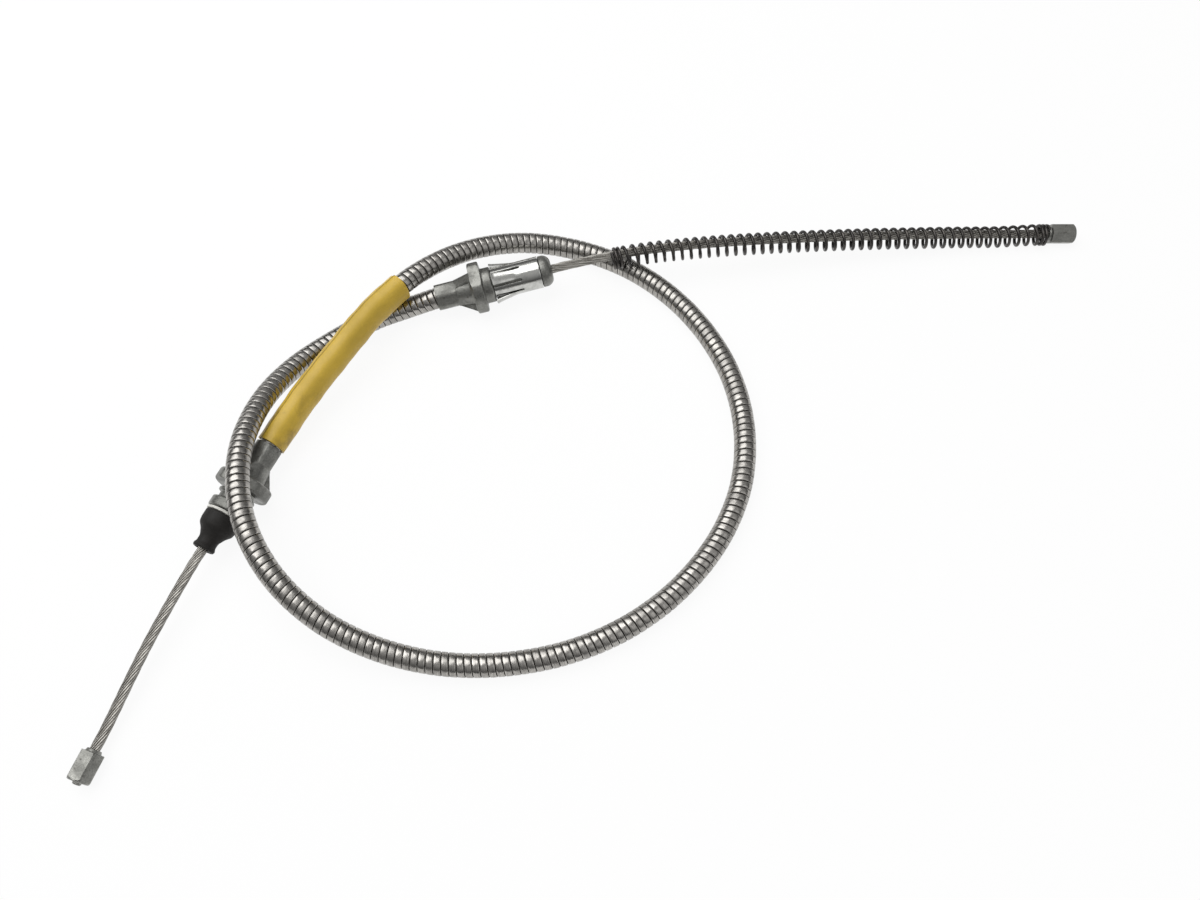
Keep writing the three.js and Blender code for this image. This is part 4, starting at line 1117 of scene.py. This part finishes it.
def build_fitting_b(colours):
    """Fitting B: the casting with its ringed barrel and bead, the nylon bush and the boot."""
    ring = B_BARREL_PLACE + B_STEP_PLACE
    ring_end = ring + B_STEP_LENGTH
    hole = BUSH_SPIGOT_RADIUS + GAP
    beyond = [
        (B_BARREL_RADIUS, B_BARREL_PLACE), (B_BARREL_RADIUS, ring), (B_STEP_RADIUS, ring),
        (B_STEP_RADIUS, ring_end), (B_BARREL_RADIUS, ring_end), (B_BARREL_RADIUS, B_BEAD_PLACE),
        (B_BEAD_RADIUS, B_BEAD_PLACE), (B_BEAD_RADIUS, B_BODY_LENGTH), (hole, B_BODY_LENGTH)]
    hole_end = B_BODY_LENGTH - BUSH_SPIGOT_LENGTH - GAP
    bore = [(hole, hole_end), (LINER_HOLE_RADIUS, hole_end)]
    build_casting("fitting_b_casting", "fitting_b_body", AXIS_B, B_FLANGE_PLACE, beyond, bore,
                  zinc_material(colours, "cast_zinc_b"))
    build_bush(colours)
    build_boot(colours)


def build_bush(colours):
    """The bush: a spigot in the bead, a flange that shows as a white ring, a bevelled nose."""
    spigot = BUSH_PLACE - BUSH_SPIGOT_LENGTH
    flange_end = BUSH_PLACE + BUSH_FLANGE_LENGTH
    nose = flange_end + BUSH_NOSE_LENGTH
    outline = np.array([
        (WIRE_HOLE_RADIUS, spigot), (BUSH_SPIGOT_RADIUS, spigot), (BUSH_SPIGOT_RADIUS, BUSH_PLACE),
        (BUSH_FLANGE_RADIUS, BUSH_PLACE), (BUSH_FLANGE_RADIUS, flange_end),
        (BUSH_NOSE_RADIUS, flange_end), (BUSH_NOSE_RADIUS, nose - BUSH_NOSE_BEVEL),
        (BUSH_NOSE_RADIUS - BUSH_NOSE_BEVEL, nose), (WIRE_HOLE_RADIUS, nose)])
    profile = np.vstack([rounded(outline, 0.35 * MM, 3), outline[:1]])
    piece = make_piece("fitting_b_ring", turned_points(AXIS_B, profile, turn_angles(96)),
                       plastic_material(colours, "natural_nylon"), sharp=40)
    stand_for(piece, "fitting_b_bush")


def build_boot(colours):
    """The boot.

    Its outline is turned about the axis, and the radius swells by a small share of the sine
    of three times the angle, as a moulded boot is never quite round.
    """
    outline = np.array(placed(BOOT_OUTLINE, BOOT_PLACE))
    profile = with_step(np.vstack([rounded(outline, 0.9 * MM, 5), outline[:1]]), 0.6 * MM)
    angle = turn_angles(96)
    radius = profile[:, :1] * (1 + 0.012 * np.sin(3 * angle + 0.8))
    piece = make_piece("fitting_b_gaiter", turned_points(AXIS_B, profile, angle, radius),
                       rubber_material(colours), sharp=45)
    stand_for(piece, "fitting_b_boot")


def build_stop(name, node, axis, material):
    """A hexagonal stop.

    The turned profile is limited by a hexagon with eased corners, and its two ends keep
    their round cones: the small collar that the wire goes in by, and the wire's upset end.
    """
    bore = [(0, STOP_BORE_DEPTH), (WIRE_HOLE_RADIUS, STOP_BORE_DEPTH), (WIRE_HOLE_RADIUS, 0)]
    outside = rounded([bore[-1], *placed(STOP_OUTLINE, 0)], 0.35 * MM)
    profile = np.vstack([bore, with_step(outside, 0.45 * MM)[1:]])
    angle = turn_angles(120)
    radius = np.repeat(profile[:, :1], len(angle), axis=1)
    limit = flat_limit(angle, STOP_HEIGHT, sides=6)[None, :]
    radius = np.where(radius > STOP_ROUND_RADIUS, soft_min(radius, limit, power=130), radius)
    piece = make_piece(name, turned_points(axis, profile, angle, radius), material, sharp=28)
    stand_for(piece, node)
    return piece


# The stage


def build_stage():
    """A white floor that keeps a soft shadow, a large and a weak soft lamp, and the camera."""
    floor = bpy.data.meshes.new("floor")
    corners = np.array([(-1, -1), (1, -1), (1, 1), (-1, 1)]) * FLOOR_SIZE / 2
    floor.from_pydata([(x, y, FLOOR_HEIGHT) for x, y in corners], [], [(0, 1, 2, 3)])
    floor.materials.append(floor_material())
    ground = bpy.data.objects.new("floor", floor)
    bpy.context.scene.collection.objects.link(ground)
    add_lamp("key_softbox", place=(-0.5, 0.35, 1.1), size=1.3, power=12.5)
    add_lamp("fill_softbox", place=(0.9, -0.5, 0.9), size=1.2, power=2.0)
    build_world()
    camera = bpy.data.cameras.new("camera")
    camera.lens = CAMERA_LENS
    camera.sensor_width = CAMERA_SENSOR
    camera.clip_start = 0.01
    view = bpy.data.objects.new("camera", camera)
    view.location = CAMERA_EYE
    view.rotation_euler = (CAMERA_TILT, 0, 0)
    bpy.context.scene.collection.objects.link(view)
    bpy.context.scene.camera = view
    bpy.context.scene.view_settings.view_transform = "Standard"


def add_lamp(name, place, size, power):
    """A square softbox that faces the middle of the cable."""
    lamp = bpy.data.lights.new(name, "AREA")
    lamp.size = size
    lamp.energy = power
    holder = bpy.data.objects.new(name, lamp)
    holder.location = Vector(place)
    holder.rotation_euler = (-holder.location).to_track_quat("-Z", "Y").to_euler()
    bpy.context.scene.collection.objects.link(holder)


def seen_directly(tree):
    """1 for camera, glossy and transmission rays, which all see the white background."""
    path = tree.nodes.new("ShaderNodeLightPath").outputs
    seen = maths(tree, "MAXIMUM", path["Is Camera Ray"], path["Is Glossy Ray"])
    return maths(tree, "MAXIMUM", seen, path["Is Transmission Ray"])


def floor_material():
    """White floor: part of it glows for what sees it directly, and the rest takes the shadow."""
    material = bpy.data.materials.new("white_floor")
    material.use_nodes = True
    tree = material.node_tree
    tree.nodes.clear()
    matt = add_node(tree, "ShaderNodeBsdfDiffuse", {"Color": (1, 1, 1, 1)})
    glow = add_node(tree, "ShaderNodeEmission", {"Color": (1, 1, 1, 1), "Strength": 1.0})
    share = maths(tree, "MULTIPLY", seen_directly(tree), FLOOR_GLOW)
    mix = add_node(tree, "ShaderNodeMixShader", {0: share, 1: matt.outputs[0], 2: glow.outputs[0]})
    add_node(tree, "ShaderNodeOutputMaterial", {"Surface": mix.outputs[0]})
    return material


def build_world():
    """White to the camera, and a grey light that is brightest overhead."""
    world = bpy.data.worlds.new("studio")
    bpy.context.scene.world = world
    world.use_nodes = True
    tree = world.node_tree
    tree.nodes.clear()
    path = tree.nodes.new("ShaderNodeLightPath").outputs
    white = add_node(tree, "ShaderNodeBackground", {"Color": (1, 1, 1, 1), "Strength": 1.0})
    direction = tree.nodes.new("ShaderNodeTexCoord").outputs["Generated"]
    height = add_node(tree, "ShaderNodeSeparateXYZ", {0: direction}).outputs[2]
    level = add_node(tree, "ShaderNodeMapRange", {
        "Value": height, "From Min": 0.15, "From Max": 0.9, "To Min": SKY_LOW, "To Max": SKY_HIGH})
    grey = add_node(tree, "ShaderNodeBackground", {
        "Color": (1, 1, 1, 1), "Strength": level.outputs["Result"]})
    seen = maths(tree, "MAXIMUM", path["Is Camera Ray"], path["Is Transmission Ray"])
    mix = add_node(tree, "ShaderNodeMixShader", {0: seen, 1: grey.outputs[0], 2: white.outputs[0]})
    add_node(tree, "ShaderNodeOutputWorld", {"Surface": mix.outputs[0]})


# Operators and panel


class CABLE_OT_stage(bpy.types.Operator):
    """Sets up the floor, the lamps and the camera"""
    bl_idname = "cable.stage"
    bl_label = "Stage and camera"

    def execute(self, context):
        build_stage()
        return {"FINISHED"}


class CABLE_OT_wire(bpy.types.Operator):
    """Lays the stranded wire and casts its two stops"""
    bl_idname = "cable.wire"
    bl_label = "Wire and stops"

    def execute(self, context):
        sizes, colours = context.scene.cable_sizes, context.scene.cable_colours
        wire = build_wire(sizes, colours)
        zinc = zinc_material(colours, "stop_zinc", 1.3)
        build_stop("stop_a_hexagon", "stop_a", AXIS_STOP_A, zinc)
        stop = build_stop("stop_b_hexagon", "stop_b", AXIS_STOP_B, zinc)
        return {"FINISHED"}


class CABLE_OT_conduit(bpy.types.Operator):
    """Winds the strip of the conduit"""
    bl_idname = "cable.conduit"
    bl_label = "Conduit"

    def execute(self, context):
        build_conduit(context.scene.cable_sizes, context.scene.cable_colours)
        return {"FINISHED"}


class CABLE_OT_sleeve(bpy.types.Operator):
    """Rolls the yellow sleeve round the conduit"""
    bl_idname = "cable.sleeve"
    bl_label = "Sleeve"

    def execute(self, context):
        build_sleeve(context.scene.cable_sizes, context.scene.cable_colours)
        return {"FINISHED"}


class CABLE_OT_fittings(bpy.types.Operator):
    """Casts the two end fittings with their retainer, bush and boot"""
    bl_idname = "cable.fittings"
    bl_label = "End fittings"

    def execute(self, context):
        build_fitting_a(context.scene.cable_colours)
        build_fitting_b(context.scene.cable_colours)
        return {"FINISHED"}


class CABLE_OT_spring(bpy.types.Operator):
    """Coils the return spring over the bare wire"""
    bl_idname = "cable.spring"
    bl_label = "Return spring"

    def execute(self, context):
        build_spring(context.scene.cable_sizes, context.scene.cable_colours)
        return {"FINISHED"}


STEPS = (CABLE_OT_stage, CABLE_OT_wire, CABLE_OT_conduit, CABLE_OT_sleeve, CABLE_OT_fittings,
         CABLE_OT_spring)


class CABLE_PT_panel(bpy.types.Panel):
    """The steps that build the cable, in order"""
    bl_label = "Parking brake cable"
    bl_idname = "CABLE_PT_panel"
    bl_space_type = "VIEW_3D"
    bl_region_type = "UI"
    bl_category = "Cable"

    def draw(self, context):
        for step in STEPS:
            self.layout.operator(step.bl_idname)


CLASSES = (CableSizes, CableColours, *STEPS, CABLE_PT_panel)


def register():
    for cls in CLASSES:
        bpy.utils.register_class(cls)
    bpy.types.Scene.cable_sizes = PointerProperty(type=CableSizes)
    bpy.types.Scene.cable_colours = PointerProperty(type=CableColours)


def unregister():
    del bpy.types.Scene.cable_colours
    del bpy.types.Scene.cable_sizes
    for cls in reversed(CLASSES):
        bpy.utils.unregister_class(cls)


def main():
    """Registers the add-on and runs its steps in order."""
    register()
    bpy.ops.cable.stage()
    bpy.ops.cable.wire()
    bpy.ops.cable.conduit()
    bpy.ops.cable.sleeve()
    bpy.ops.cable.fittings()
    bpy.ops.cable.spring()


if __name__ == "__main__":
    main()
